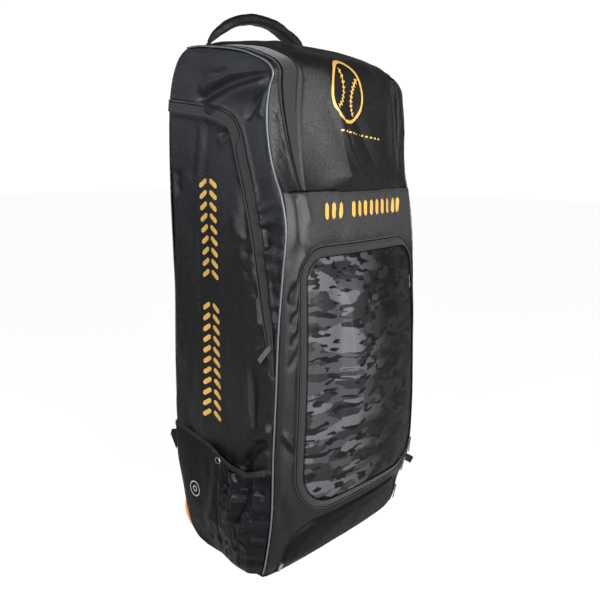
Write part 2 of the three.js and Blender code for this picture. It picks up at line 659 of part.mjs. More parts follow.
// stand: how far the pouch stands out, as a share of its fullness. rise: share of the mouth's height.
// front: how much of that lies in the pocket's front half.
const pouchRows = [
  { rise: 0.000, stand: 0.00, front: 1.0 }, { rise: 0.004, stand: 0.52, front: 1.0 },
  { rise: 0.060, stand: 0.66, front: 0.8 }, { rise: 0.190, stand: 0.88, front: 0.6 },
  { rise: 0.360, stand: 1.00, front: 0.5 }, { rise: 0.560, stand: 0.92, front: 0.5 },
  { rise: 0.780, stand: 0.70, front: 0.6 }, { rise: 1.000, stand: 0.52, front: 0.7 },
];
const pouchSeamShare = 0.52;
const pouchSeamHalfGap = 0.002;
const pouchRearPlaces = evenSteps(0, pouchSeamShare - pouchSeamHalfGap, 4);
const pouchFrontPlaces = evenSteps(pouchSeamShare + pouchSeamHalfGap, 1, 5);

function seamDepthAt(z, fromStation, toStation, side = -1) {
  let near = fromStation;
  let far = toStation;
  for (let round = 0; round < 24; round += 1) {
    const middle = (near + far) / 2;
    if (seamPoint(middle, side).z < z) near = middle;
    else far = middle;
  }
  return seamPoint(near, side).y;
}
const frontDepthAt = (z, side) => seamDepthAt(z, 0, stationOf('pocket middle'), side);
const rearDepthAt = (z) => seamDepthAt(z, outlineRows.length - 1, stationOf('back lower'));

function pouchPlace(along, rise, side, height) {
  const besidePiping = 1.4 * (pipingRadius + seamGap);
  const frontEdge = frontDepthAt(height, side) + besidePiping;
  const y = THREE.MathUtils.lerp(rearDepthAt(height), frontEdge, along);
  const mouth = readTable(pocketMouthRows, 'back', 'up', y / bodyDepth) * sidePocketHeight;
  return { y, z: baseTop + rise * (mouth - baseTop) };
}

function pouchPoint(along, { rise, stand, front }, side, lift) {
  const guess = pouchPlace(along, rise, side, Math.max(rise * sidePocketHeight, baseTop));
  const { y, z } = pouchPlace(along, rise, side, guess.z);
  const arch = Math.max(Math.sin(Math.PI * along), 0) ** 0.8;
  const forward = THREE.MathUtils.smoothstep(along, 0.25, 0.7) * (1 - THREE.MathUtils.smoothstep(along, 0.86, 1));
  const belly = THREE.MathUtils.lerp(arch, forward, front);
  return new THREE.Vector3(side * (halfWidthAt(y, z) + lift + sidePocketFullness * stand * belly), y, z);
}

function pouchSheet(places, side) {
  const lift = clothWall + seamGap;
  const grid = pouchRows.map((row) => (
    places.map((along) => pouchPoint(along, row, side, lift))));
  const inner = pouchRows.map((row) => (
    places.map((along) => {
      const outer = pouchPoint(along, row, side, lift);
      outer.x -= side * clothWall;
      if (row.stand > 0 && row.rise < 0.02) outer.z += clothWall;
      return outer;
    })));
  return slabGeometry(grid, inner);
}

function pouchBinding(side) {
  const lift = bindingThickness + seamGap;
  const mouthRow = pouchRows[pouchRows.length - 1];
  const rows = [0, 1].map((upper) => [...pouchRearPlaces, ...pouchFrontPlaces].map((along) => {
    const point = pouchPoint(along, mouthRow, side, lift);
    point.z += seamGap + upper * bindingHeight;
    return point;
  }));
  const inner = rows.map((row) => row.map((point) => point.clone().setX(point.x - side * bindingThickness)));
  return slabGeometry(rows, inner);
}

// A zip slider with its hanging pull, as a flat bar below a small block.
function zipPull(length, width) {
  const slider = new THREE.BoxGeometry(sliderWidth, sliderThickness, sliderLength);
  const bar = new THREE.BoxGeometry(width, pullThickness, length);
  bar.translate(0, -(sliderThickness - pullThickness) / 2, -(length / 2));
  return toGeometry(toSolid(slider).add(toSolid(bar)));
}

// Places a pull on a surface point: the pull's back rests on it and it hangs at an angle.
function placedPull(point, outward, down, length = pullLength, width = pullWidth) {
  const geometry = zipPull(length, width);
  const front = outward.clone().normalize();
  const up = down.clone().multiplyScalar(-1).addScaledVector(front, down.dot(front)).normalize();
  const across = up.clone().cross(front).multiplyScalar(-1);
  const basis = new THREE.Matrix4().makeBasis(across, front.clone().multiplyScalar(-1), up);
  geometry.applyMatrix4(basis);
  const centre = point.clone().addScaledVector(front, sliderThickness / 2 + seamGap);
  geometry.translate(centre.x, centre.y, centre.z);
  return closedGeometry(Array.from(geometry.getAttribute('position').array), Array.from(geometry.getIndex().array));
}

function ringGeometry(centre, side) {
  const ring = new THREE.TorusGeometry(ringRadius, ringWire, 5, 12);
  ring.rotateY(Math.PI / 2);
  ring.translate(centre.x + side * (2 * ringWire + seamGap), centre.y, centre.z);
  return toGeometry(toSolid(ring));
}

sideNames.forEach(({ side, word }) => {
  addPiece(`bat_zip_band_${word}`, sideTape(batZipRows, batZipWidth, tapeThickness, side), tapeCloth);
  addPiece(`side_pocket_rear_${word}`, pouchSheet(pouchRearPlaces, side), blackCloth);
  addPiece(`side_pocket_camo_${word}`, pouchSheet(pouchFrontPlaces, side), camoCloth);
  addPiece(`side_pocket_binding_${word}`, pouchBinding(side), tapeCloth);
  const pullY = readTable(batZipRows, 'up', 'back', batPullHeight) * bodyDepth;
  const pullZ = batPullHeight * panelHeight;
  const onTape = halfWidthAt(pullY, pullZ) + tapeThickness + seamGap;
  addPiece(`bat_zip_pull_${word}`, placedPull(
    new THREE.Vector3(side * onTape, pullY, pullZ), sideways(side), new THREE.Vector3(0, 0.66, -0.75)), pullMetal);
  const ringAt = pouchPoint(0.53, pouchRows[pouchRows.length - 1], side, bindingThickness + seamGap);
  addPiece(`side_pocket_ring_${word}`, ringGeometry(ringAt, side), pullMetal);
});

// Pulls on the front. station and across place each one on the wrap cloth, and sink lowers it onto
// the flat between two rows of the cloth's mesh.
const frontPulls = [
  { name: 'boot_zip_pull_left', station: 0.85, across: -0.87, sink: 1.2, length: shortPullLength },
  { name: 'boot_zip_pull_right', station: 1.5, across: 0.885, sink: 0.4, length: bootPullLength },
  { name: 'front_pocket_zip_pull_upper', station: 3.35, across: 0.868, sink: 0, length: frontPullLength },
  { name: 'front_pocket_zip_pull_lower', station: 2.9, across: 0.8, sink: 2, length: frontPullLength },
];
frontPulls.forEach((pull) => {
  const here = wrapPoint(pull.station, pull.across);
  const above = wrapPoint(pull.station + 0.1, pull.across);
  const beside = wrapPoint(pull.station, pull.across + 0.01);
  const outward = beside.sub(here).cross(above.clone().sub(here)).normalize();
  const seat = here.addScaledVector(outward, -pull.sink);
  addPiece(pull.name, placedPull(seat, outward, new THREE.Vector3(0, 0, -1), pull.length, frontPullWidth), pullMetal);
});

// Fabric tab that stands out of the right end of the boot compartment
function fabricTab() {
  const seam = wrapPoint(stationOf('boot') + 0.8, 0.925);
  const start = seam.clone().add(new THREE.Vector3(0.7, -0.7, 0).multiplyScalar(-seamGap));
  const end = start.clone().add(new THREE.Vector3(0.72, -0.45, -0.5).multiplyScalar(tabLength));
  return sweptGeometry(framesAlong([start, end], () => new THREE.Vector3(0.2, 0.1, 1)), flatSection(tabWidth, 3));
}
addPiece('pull_tab_right', fabricTab(), webbingCloth);

// Wheels in the lower rear corners
const wheelHeightPlace = wheelRadius + wheelLift;
const outerCheekPlace = halfWidth - clothWall - seamGap;
const housingInnerPlace = outerCheekPlace - wheelWidth - 2 * (housingWall + wheelSideGap);
const wheelMiddlePlace = (outerCheekPlace + housingInnerPlace) / 2;

function turnedPart(profile, segments, side) {
  const geometry = new THREE.LatheGeometry(profile.map(([radius, along]) => new THREE.Vector2(radius, along)), segments);
  geometry.rotateZ(Math.PI / 2);
  geometry.translate(side * wheelMiddlePlace, wheelDepthPlace, wheelHeightPlace);
  return toGeometry(toSolid(geometry));
}

const tyreHalf = wheelWidth / 2;
const tyreSeat = hubRadius + seamGap;
const tyreProfile = [
  [tyreSeat, -tyreHalf], [wheelRadius - 4, -tyreHalf], [wheelRadius, -tyreHalf * 0.45],
  [wheelRadius, tyreHalf * 0.45], [wheelRadius - 4, tyreHalf], [tyreSeat, tyreHalf], [tyreSeat, -tyreHalf],
];
const bore = axleRadius + runningGap;
const hubProfile = [
  [bore, -tyreHalf], [bore * 2, -tyreHalf], [hubRadius - 4, -tyreHalf * 0.6], [hubRadius, -tyreHalf * 0.9],
  [hubRadius, tyreHalf * 0.9], [hubRadius - 4, tyreHalf * 0.6], [bore * 2, tyreHalf], [bore, tyreHalf], [bore, -tyreHalf],
];

// Fender over the wheel and two cheeks that carry the axle
function wheelHousing(side) {
  const well = wheelRadius + wheelClearance;
  const startAngle = THREE.MathUtils.degToRad(60);
  const endAngle = THREE.MathUtils.degToRad(236);
  const width = outerCheekPlace - housingInnerPlace;
  const fenderShape = new THREE.Shape();
  fenderShape.absarc(0, 0, well + housingWall, startAngle, endAngle, false);
  fenderShape.absarc(0, 0, well, endAngle, startAngle, true);
  const cheekShape = new THREE.Shape();
  cheekShape.absarc(0, 0, well + housingWall / 2, startAngle, endAngle, false);
  const footPlace = (well + housingWall / 2) * Math.cos(endAngle) + housingWall;
  evenSteps(stationOf('base rear') - 0.15, stationOf('heel') - 0.25, 6)
    .map((station) => insetSeamPoint(station, -1, 1))
    .map((point) => [point.y - wheelDepthPlace, point.z - wheelHeightPlace])
    .filter(([depth]) => depth > footPlace)
    .forEach(([depth, height]) => cheekShape.lineTo(depth, height));
  const axleHole = new THREE.Path();
  axleHole.absarc(0, 0, axleRadius + seamGap, 0, 2 * Math.PI, false);
  cheekShape.holes.push(axleHole);
  const settings = { bevelEnabled: false, curveSegments: arcSteps };
  const layer = (shape, low, high) => {
    const geometry = new THREE.ExtrudeGeometry(shape, { ...settings, depth: high - low });
    geometry.translate(0, 0, low);
    return toSolid(geometry);
  };
  const whole = layer(fenderShape, 0, width)
    .add(layer(cheekShape, 0, housingWall))
    .add(layer(cheekShape, width - housingWall, width));
  const geometry = toGeometry(whole);
  // The shapes are drawn with depth to the right and height up, and are stacked across the bag.
  geometry.applyMatrix4(new THREE.Matrix4().makeBasis(
    new THREE.Vector3(0, 1, 0), new THREE.Vector3(0, 0, 1), new THREE.Vector3(side, 0, 0)));
  geometry.translate(side * housingInnerPlace, wheelDepthPlace, wheelHeightPlace);
  return closedGeometry(Array.from(geometry.getAttribute('position').array), Array.from(geometry.getIndex().array));
}

function heelGuard() {
  const stations = evenSteps(heelStation + 0.02, outlineRows.length - 1, 9);
  const reach = (station) => (housingInnerPlace - seamGap) / seamPoint(station, 1).x;
  return wrapSheet(stations, (station) => -reach(station), reach, 2);
}
addPiece('heel_guard', heelGuard(), blackPlastic);

sideNames.forEach(({ side, word }) => {
  addPiece(`wheel_housing_${word}`, wheelHousing(side), blackPlastic);
  const axleLength = outerCheekPlace - housingInnerPlace;
  addPiece(`axle_${word}`, turnedPart(
    [[0, -axleLength / 2], [axleRadius, -axleLength / 2], [axleRadius, axleLength / 2], [0, axleLength / 2]],
    16, side), axleSteel);
  addPiece(`wheel_tyre_${word}`, turnedPart(tyreProfile, 24, side), amberTyre);
  addPiece(`wheel_hub_${word}`, turnedPart(hubProfile, 12, side), blackPlastic);
});

// Grab handle at the top of the back: a webbing loop through a padded sleeve.
// along: place across the span, from -0.5 to 0.5. rise: share of the handle's rise.
const handleRows = [
  { along: -0.500, rise: 0.00 }, { along: -0.475, rise: 0.23 }, { along: -0.415, rise: 0.45 },
  { along: -0.350, rise: 0.62 }, { along: -0.245, rise: 0.83 }, { along: -0.107, rise: 0.97 },
  { along: 0.020, rise: 1.00 }, { along: 0.130, rise: 0.96 }, { along: 0.210, rise: 0.88 },
  { along: 0.310, rise: 0.74 }, { along: 0.400, rise: 0.57 }, { along: 0.470, rise: 0.30 }, { along: 0.500, rise: 0.00 },
];
const handleStation = stationOf('shoulder') + 0.5;
function handlePath() {
  const lift = handleWebThickness / 2 + handleFootGap;
  const [left, right] = [-0.5, 0.5].map((along) => {
    const across = (handleShift + along * handleSpan) / halfWidth;
    return wrapPoint(handleStation, across).addScaledVector(wrapNormal(handleStation, across), lift);
  });
  return handleRows.map((row) => {
    const foot = left.clone().lerp(right, row.along + 0.5);
    return new THREE.Vector3(handleShift + row.along * handleSpan, foot.y, foot.z + row.rise * handleRise);
  });
}
// The webbing's wide axis follows the slope of the back's top at its feet and is level at the top.
function handleWide(share) {
  const slope = wrapPoint(handleStation + 0.2, 0.6).sub(wrapPoint(handleStation - 0.2, 0.6)).setX(0).normalize();
  const level = Math.sin(Math.PI * THREE.MathUtils.clamp(share, 0, 1));
  return slope.lerp(backwards, level).normalize();
}
const handlePoints = handlePath();
const handleCurve = new THREE.CatmullRomCurve3(handlePoints);
const handleStrip = (from, to, steps) => evenSteps(from, to, steps).map((share) => handleCurve.getPoint(share));
const handleSteps = 20;
const handleWeb = (width, thickness) => sweptGeometry(
  framesAlong(handleStrip(0, 1, handleSteps), (i) => handleWide(i / handleSteps)), flatSection(width, thickness));
addPiece('handle_webbing', handleWeb(handleWebWidth, handleWebThickness), webbingCloth);
const sleeveFrom = 0.1;
const sleeveSteps = 12;
const sleevePoints = handleStrip(sleeveFrom, 1 - sleeveFrom, sleeveSteps);
const sleeveShare = (i) => sleeveFrom + ((1 - 2 * sleeveFrom) * i) / sleeveSteps;
const sleeveBody = toSolid(sweptGeometry(
  framesAlong(sleevePoints, (i) => handleWide(sleeveShare(i))), ovalSection(sleeveWidth, sleeveThickness, 8)));
const sleeveBore = toSolid(handleWeb(handleWebWidth + 2 * seamGap, handleWebThickness + 2 * seamGap));
addPiece('handle_sleeve', toGeometry(sleeveBody.subtract(sleeveBore)), blackCloth);

// Shoulder straps on the back: a padded upper part and a webbing tail to the anchor at the seam.
// out: share of the half width. up: share of the panel height. bow: how far it stands off the back.
const strapPadRows = [
  { out: 0.30, up: 0.915, bow: 0 }, { out: 0.33, up: 0.840, bow: 7 }, { out: 0.38, up: 0.760, bow: 13 },
  { out: 0.44, up: 0.680, bow: 15 }, { out: 0.51, up: 0.600, bow: 14 }, { out: 0.57, up: 0.530, bow: 11 },
  { out: 0.62, up: 0.470, bow: 8 },
];
const strapTailRows = [
  { out: 0.62, up: 0.4696, bow: 10 }, { out: 0.66, up: 0.410, bow: 7 }, { out: 0.72, up: 0.350, bow: 6 },
  { out: 0.80, up: 0.290, bow: 6 }, { out: 0.91, up: 0.232, bow: 7 },
];
function backDepthAt(z, out) {
  let near = stationOf('back top') - 0.5;
  let far = outlineRows.length - 1;
  for (let round = 0; round < 24; round += 1) {
    const middle = (near + far) / 2;
    if (seamPoint(middle, -1).z > z) near = middle;
    else far = middle;
  }
  return wrapPoint(near, out).y;
}
function strapPoints(rows, side, thickness) {
  return rows.map((row) => {
    const z = row.up * panelHeight;
    const surface = backDepthAt(z, row.out);
    return new THREE.Vector3(side * row.out * halfWidth, surface + row.bow + thickness / 2 + 2 * seamGap, z);
  });
}
// Triangular anchor sewn into the rear seam, which holds the strap's tail
function strapAnchor(side) {
  const z = strapTailRows[strapTailRows.length - 1].up * panelHeight;
  const place = (halfWidth - strapWebThickness - 1) / halfWidth;
  const shape = new THREE.Shape();
  const tip = backDepthAt(z, place) + anchorReach;
  shape.moveTo(tip, z - anchorHeight * 0.38);
  shape.lineTo(tip, z - anchorHeight * 0.16);
  evenSteps(z + anchorHeight * 0.08, z - anchorHeight * 0.92, 4).forEach((height) => {
    shape.lineTo(backDepthAt(height, place) + seamGap, height);
  });
  shape.closePath();
  const geometry = new THREE.ExtrudeGeometry(shape, { depth: strapWebThickness, bevelEnabled: false });
  geometry.applyMatrix4(new THREE.Matrix4().makeBasis(
    new THREE.Vector3(0, 1, 0), new THREE.Vector3(0, 0, 1), new THREE.Vector3(side, 0, 0)));
  geometry.translate(side * (halfWidth - strapWebThickness - 1), 0, 0);
  return toGeometryFromLoose(geometry);
}
function toGeometryFromLoose(geometry) {
  const bare = geometry.clone();
  bare.deleteAttribute('normal');
  bare.deleteAttribute('uv');
  const merged = mergeVertices(bare, 1e-4);
  const index = merged.getIndex();
  return closedGeometry(Array.from(merged.getAttribute('position').array), Array.from(index.array));
}

sideNames.forEach(({ side, word }) => {
  const pad = strapPoints(strapPadRows, side, strapPadThickness);
  addPiece(`strap_pad_${word}`, sweptGeometry(
    framesAlong(pad, () => sideways(side)), paddedSection(strapPadWidth, strapPadThickness)), blackCloth);
  const tail = strapPoints(strapTailRows, side, strapWebThickness);
  addPiece(`strap_webbing_${word}`, sweptGeometry(
    framesAlong(tail, () => sideways(side)), flatSection(strapWebWidth, strapWebThickness)), webbingCloth);
  addPiece(`strap_anchor_${word}`, strapAnchor(side), webbingCloth);
});

export default bag;
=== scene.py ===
"""Looks of an upright wheeled cricket kit bag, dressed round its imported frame.

Every surface is worked out with numpy in millimetres, in the frame's own axes: the front faces -Y,
+Z is up, and the bag stands on z = 0. Meshes are stored in metres.
"""

from __future__ import annotations

import json
import logging
import math
from dataclasses import dataclass, field
from enum import Enum
from typing import Callable, Sequence

import bpy
import numpy as np
from mathutils import Matrix

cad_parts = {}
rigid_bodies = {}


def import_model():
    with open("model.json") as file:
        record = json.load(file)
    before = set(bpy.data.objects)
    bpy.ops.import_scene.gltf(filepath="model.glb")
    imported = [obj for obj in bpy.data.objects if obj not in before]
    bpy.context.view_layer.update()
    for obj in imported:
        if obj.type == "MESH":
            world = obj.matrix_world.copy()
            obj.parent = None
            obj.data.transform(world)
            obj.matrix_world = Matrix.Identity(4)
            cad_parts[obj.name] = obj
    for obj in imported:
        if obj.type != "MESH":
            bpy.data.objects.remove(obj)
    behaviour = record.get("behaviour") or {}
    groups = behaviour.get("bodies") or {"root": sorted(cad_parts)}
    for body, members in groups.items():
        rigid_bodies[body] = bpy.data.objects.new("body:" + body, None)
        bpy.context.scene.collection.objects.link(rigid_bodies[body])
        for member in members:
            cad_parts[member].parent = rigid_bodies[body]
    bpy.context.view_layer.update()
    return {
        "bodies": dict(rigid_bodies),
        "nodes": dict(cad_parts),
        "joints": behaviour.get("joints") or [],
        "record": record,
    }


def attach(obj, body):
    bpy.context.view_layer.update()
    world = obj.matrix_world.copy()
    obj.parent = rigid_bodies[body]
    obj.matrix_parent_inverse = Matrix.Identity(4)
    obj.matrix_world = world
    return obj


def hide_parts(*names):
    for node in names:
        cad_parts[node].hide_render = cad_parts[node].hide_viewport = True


log = logging.getLogger("kit_bag")

Array = np.ndarray
Point2 = tuple[float, float]

MM = 0.001
BODY = "bag"


class Side(Enum):
    """The two sides of the bag, seen by someone who faces its front."""

    LEFT = -1
    RIGHT = 1

    @property
    def word(self) -> str:
        """The side's word in node names."""
        return self.name.lower()

    @property
    def outward(self) -> tuple[int, int, int]:
        """The direction that the side faces."""
        return (self.value, 0, 0)


# Outline rows from the front hem up over the top and down the back: share of the depth, share of the
# height, crown, steepness beside the seams, lean of the crown in degrees, fullness of the right seam.
OUTLINE_NAMES = (
    "hem", "toe", "boot", "pocket foot", "pocket low", "pocket middle", "pocket high", "pocket head",
    "name band", "step", "lid foot", "lid low", "lid middle", "lid high", "brow", "brow top", "top front",
    "top middle", "top rear", "top heel", "shoulder", "nape", "back top", "back high", "back upper",
    "back waist", "back middle", "back lower", "back low", "heel top", "heel", "heel turn", "heel under",
    "base rear",
)
OUTLINE_COLUMNS = ("back", "up", "crown", "steep", "lean", "full")
OUTLINE_ROWS = np.array([
    (-0.452, 0, 0.28, 0.8, 0, -0.2), (-0.476, 0.022, 0.56, 1, 0, -0.1),
    (-0.515, 0.081, 0.8, 1, 0, -0.3), (-0.54, 0.144, 0.88, 1, 0, 0.6), (-0.549, 0.248, 0.92, 1, 0, 0.9),
    (-0.57, 0.37, 0.9, 1, 0, 0.3), (-0.59, 0.496, 0.76, 1, 0, -0.3), (-0.626, 0.608, 0.4, 0.9, 0, -1),
    (-0.643, 0.678, 0.22, 0.8, 0, -1.7), (-0.6, 0.731, 0.14, 0.8, 0, -1.5),
    (-0.544, 0.765, 0.22, 0.8, 0, -1), (-0.488, 0.811, 0.4, 0.8, 0, -0.3),
    (-0.456, 0.874, 0.48, 0.8, 4, 0.2), (-0.478, 0.917, 0.44, 0.7, 14, -0.5),
    (-0.505, 0.939, 0.4, 0.6, 36, -1.2), (-0.47, 0.954, 0.4, 0.5, 60, -1.1),
    (-0.4, 0.965, 0.42, 0.4, 76, -0.6), (-0.219, 0.983, 0.44, 0.2, 88, 0),
    (0.104, 0.998, 0.4, 0, 92, 0), (0.244, 1, 0.34, 0, 98, 0), (0.315, 0.996, 0.3, 0, 110, 0),
    (0.393, 0.98, 0.24, 0.1, 132, 0), (0.459, 0.944, 0.18, 0.3, 160, 0),
    (0.496, 0.889, 0.16, 0.5, 180, 0), (0.507, 0.753, 0.16, 0.5, 180, 0),
    (0.493, 0.612, 0.16, 0.5, 180, 0), (0.482, 0.53, 0.16, 0.5, 180, 0),
    (0.492, 0.357, 0.14, 0.5, 180, 0), (0.47, 0.178, 0.08, 0.5, 180, 0), (0.412, 0.111, 0, 0.5, 180, 0),
    (0.368, 0.062, 0, 0.5, 180, 0), (0.316, 0.026, 0, 0.5, 180, 0), (0.235, 0.006, 0, 0.5, 180, 0),
    (0.15, 0, 0, 0.5, 180, 0),
])


def smoothstep(value: Array, low: float, high: float) -> Array:
    """A smooth rise from 0 at low to 1 at high: 3t^2 - 2t^3.

    Args:
        value: where to read it.
        low: start of the rise.
        high: end of the rise.

    Returns:
        The risen share.
    """
    t = np.clip((np.asarray(value, float) - low) / (high - low), 0, 1)
    return t * t * (3 - 2 * t)


def mix(low: Array | float, high: Array | float, share: Array | float) -> Array:
    """Straight mix of two values: low + (high - low) share."""
    return low + (high - low) * share


def lattice_value(a: Array, b: Array, seed: int) -> Array:
    """A fixed random value from -1 to 1 for each whole-number cell.

    Args:
        a: first cell number.
        b: second cell number.
        seed: which pattern.

    Returns:
        The value of each cell.
    """
    mixed = (a * 374761393 + b * 668265263 + seed * 144269503) & 0xFFFFFFFF
    mixed = ((mixed ^ (mixed >> 13)) * 1274126177) & 0xFFFFFFFF
    return ((mixed ^ (mixed >> 16)) & 0xFFFF) / 32767.5 - 1


def cloud(u: Array, v: Array, seed: int = 0, octaves: int = 1) -> Array:
    """Smooth random height over a plane: lattice values joined by a quintic blend, with finer layers added.

    Args:
        u: first coordinate, in cells.
        v: second coordinate, in cells.
        seed: which pattern.
        octaves: number of layers, each twice as fine and half as high.

    Returns:
        Heights from about -1 to 1.
    """
    u, v = np.broadcast_arrays(np.asarray(u, float), np.asarray(v, float))
    total = np.zeros(u.shape)
    for layer in range(octaves):
        scale = 2.0 ** layer
        cell_u, cell_v = np.floor(u * scale), np.floor(v * scale)
        part_u, part_v = u * scale - cell_u, v * scale - cell_v
        blend_u = part_u ** 3 * (part_u * (6 * part_u - 15) + 10)
        blend_v = part_v ** 3 * (part_v * (6 * part_v - 15) + 10)
        whole_u, whole_v = cell_u.astype(np.int64), cell_v.astype(np.int64)
        corner = lambda i, j: lattice_value(whole_u + i, whole_v + j, seed + 17 * layer)
        low = mix(corner(0, 0), corner(1, 0), blend_u)
        high = mix(corner(0, 1), corner(1, 1), blend_u)
        total += mix(low, high, blend_v) / scale
    return total


@dataclass(frozen=True)
class Track:
    """A line through points of a panel's plane, in millimetres."""

    points: tuple[Point2, ...]

    def measure(self, a: Array, b: Array) -> tuple[Array, Array]:
        """Signed distance from the line, positive to its right, and the place along it from 0 to 1.

        Args:
            a: first coordinate of each point.
            b: second coordinate of each point.

        Returns:
            Distances in millimetres, and places along the line.
        """
        corners = np.array(self.points, float)
        steps = np.diff(corners, axis=0)
        lengths = np.hypot(steps[:, 0], steps[:, 1])
        starts = np.concatenate([[0], np.cumsum(lengths)])
        best = np.full(np.shape(a), np.inf)
        signed = np.zeros(np.shape(a))
        along = np.zeros(np.shape(a))
        for start, step, length, before in zip(corners[:-1], steps, lengths, starts[:-1]):
            da, db = a - start[0], b - start[1]
            share = np.clip((da * step[0] + db * step[1]) / length ** 2, 0, 1)
            away_a, away_b = da - share * step[0], db - share * step[1]
            distance = np.hypot(away_a, away_b)
            side = np.sign(step[1] * away_a - step[0] * away_b)
            nearer = distance < best
            best = np.where(nearer, distance, best)
            signed = np.where(nearer, distance * np.where(side == 0, 1, side), signed)
            along = np.where(nearer, (before + share * length) / starts[-1], along)
        return signed, along


@dataclass(frozen=True)
class Fold:
    """A ridge, or with a negative height a valley, along a track. Its two flanks may differ in width."""

    points: tuple[Point2, ...]
    height: float
    left: float
    right: float
    taper: float = 0.25
    tail: float = 0.0

    def heights(self, a: Array, b: Array) -> Array:
        """Height of the fold: a bell across the track that fades towards the track's two ends.

        Args:
            a: first coordinate of each point.
            b: second coordinate of each point.

        Returns:
            Heights in millimetres.
        """
        signed, along = Track(self.points).measure(a, b)
        width = np.where(signed < 0, self.left, self.right)
        fall = (1 - self.tail) * smoothstep(along, 1 - self.taper, 1.0)
        fade = smoothstep(along, 0.0, self.taper) * (1 - fall)
        return self.height * np.exp(-(np.abs(signed) / width) ** 1.7) * fade


def folded(folds: Sequence[Fold], a: Array, b: Array) -> Array:
    """Sum of the heights of several folds.

    Args:
        folds: the folds.
        a: first coordinate of each point.
        b: second coordinate of each point.

    Returns:
        Heights in millimetres.
    """
    total = np.zeros(np.broadcast(a, b).shape)
    for fold in folds:
        total = total + fold.heights(a, b)
    return total


@dataclass(frozen=True)
class Dent:
    """A broad hollow of a side: its place, its reach both ways, its slope in degrees and its depth."""

    back: float
    up: float
    long: float
    tall: float
    turn: float
    deep: float


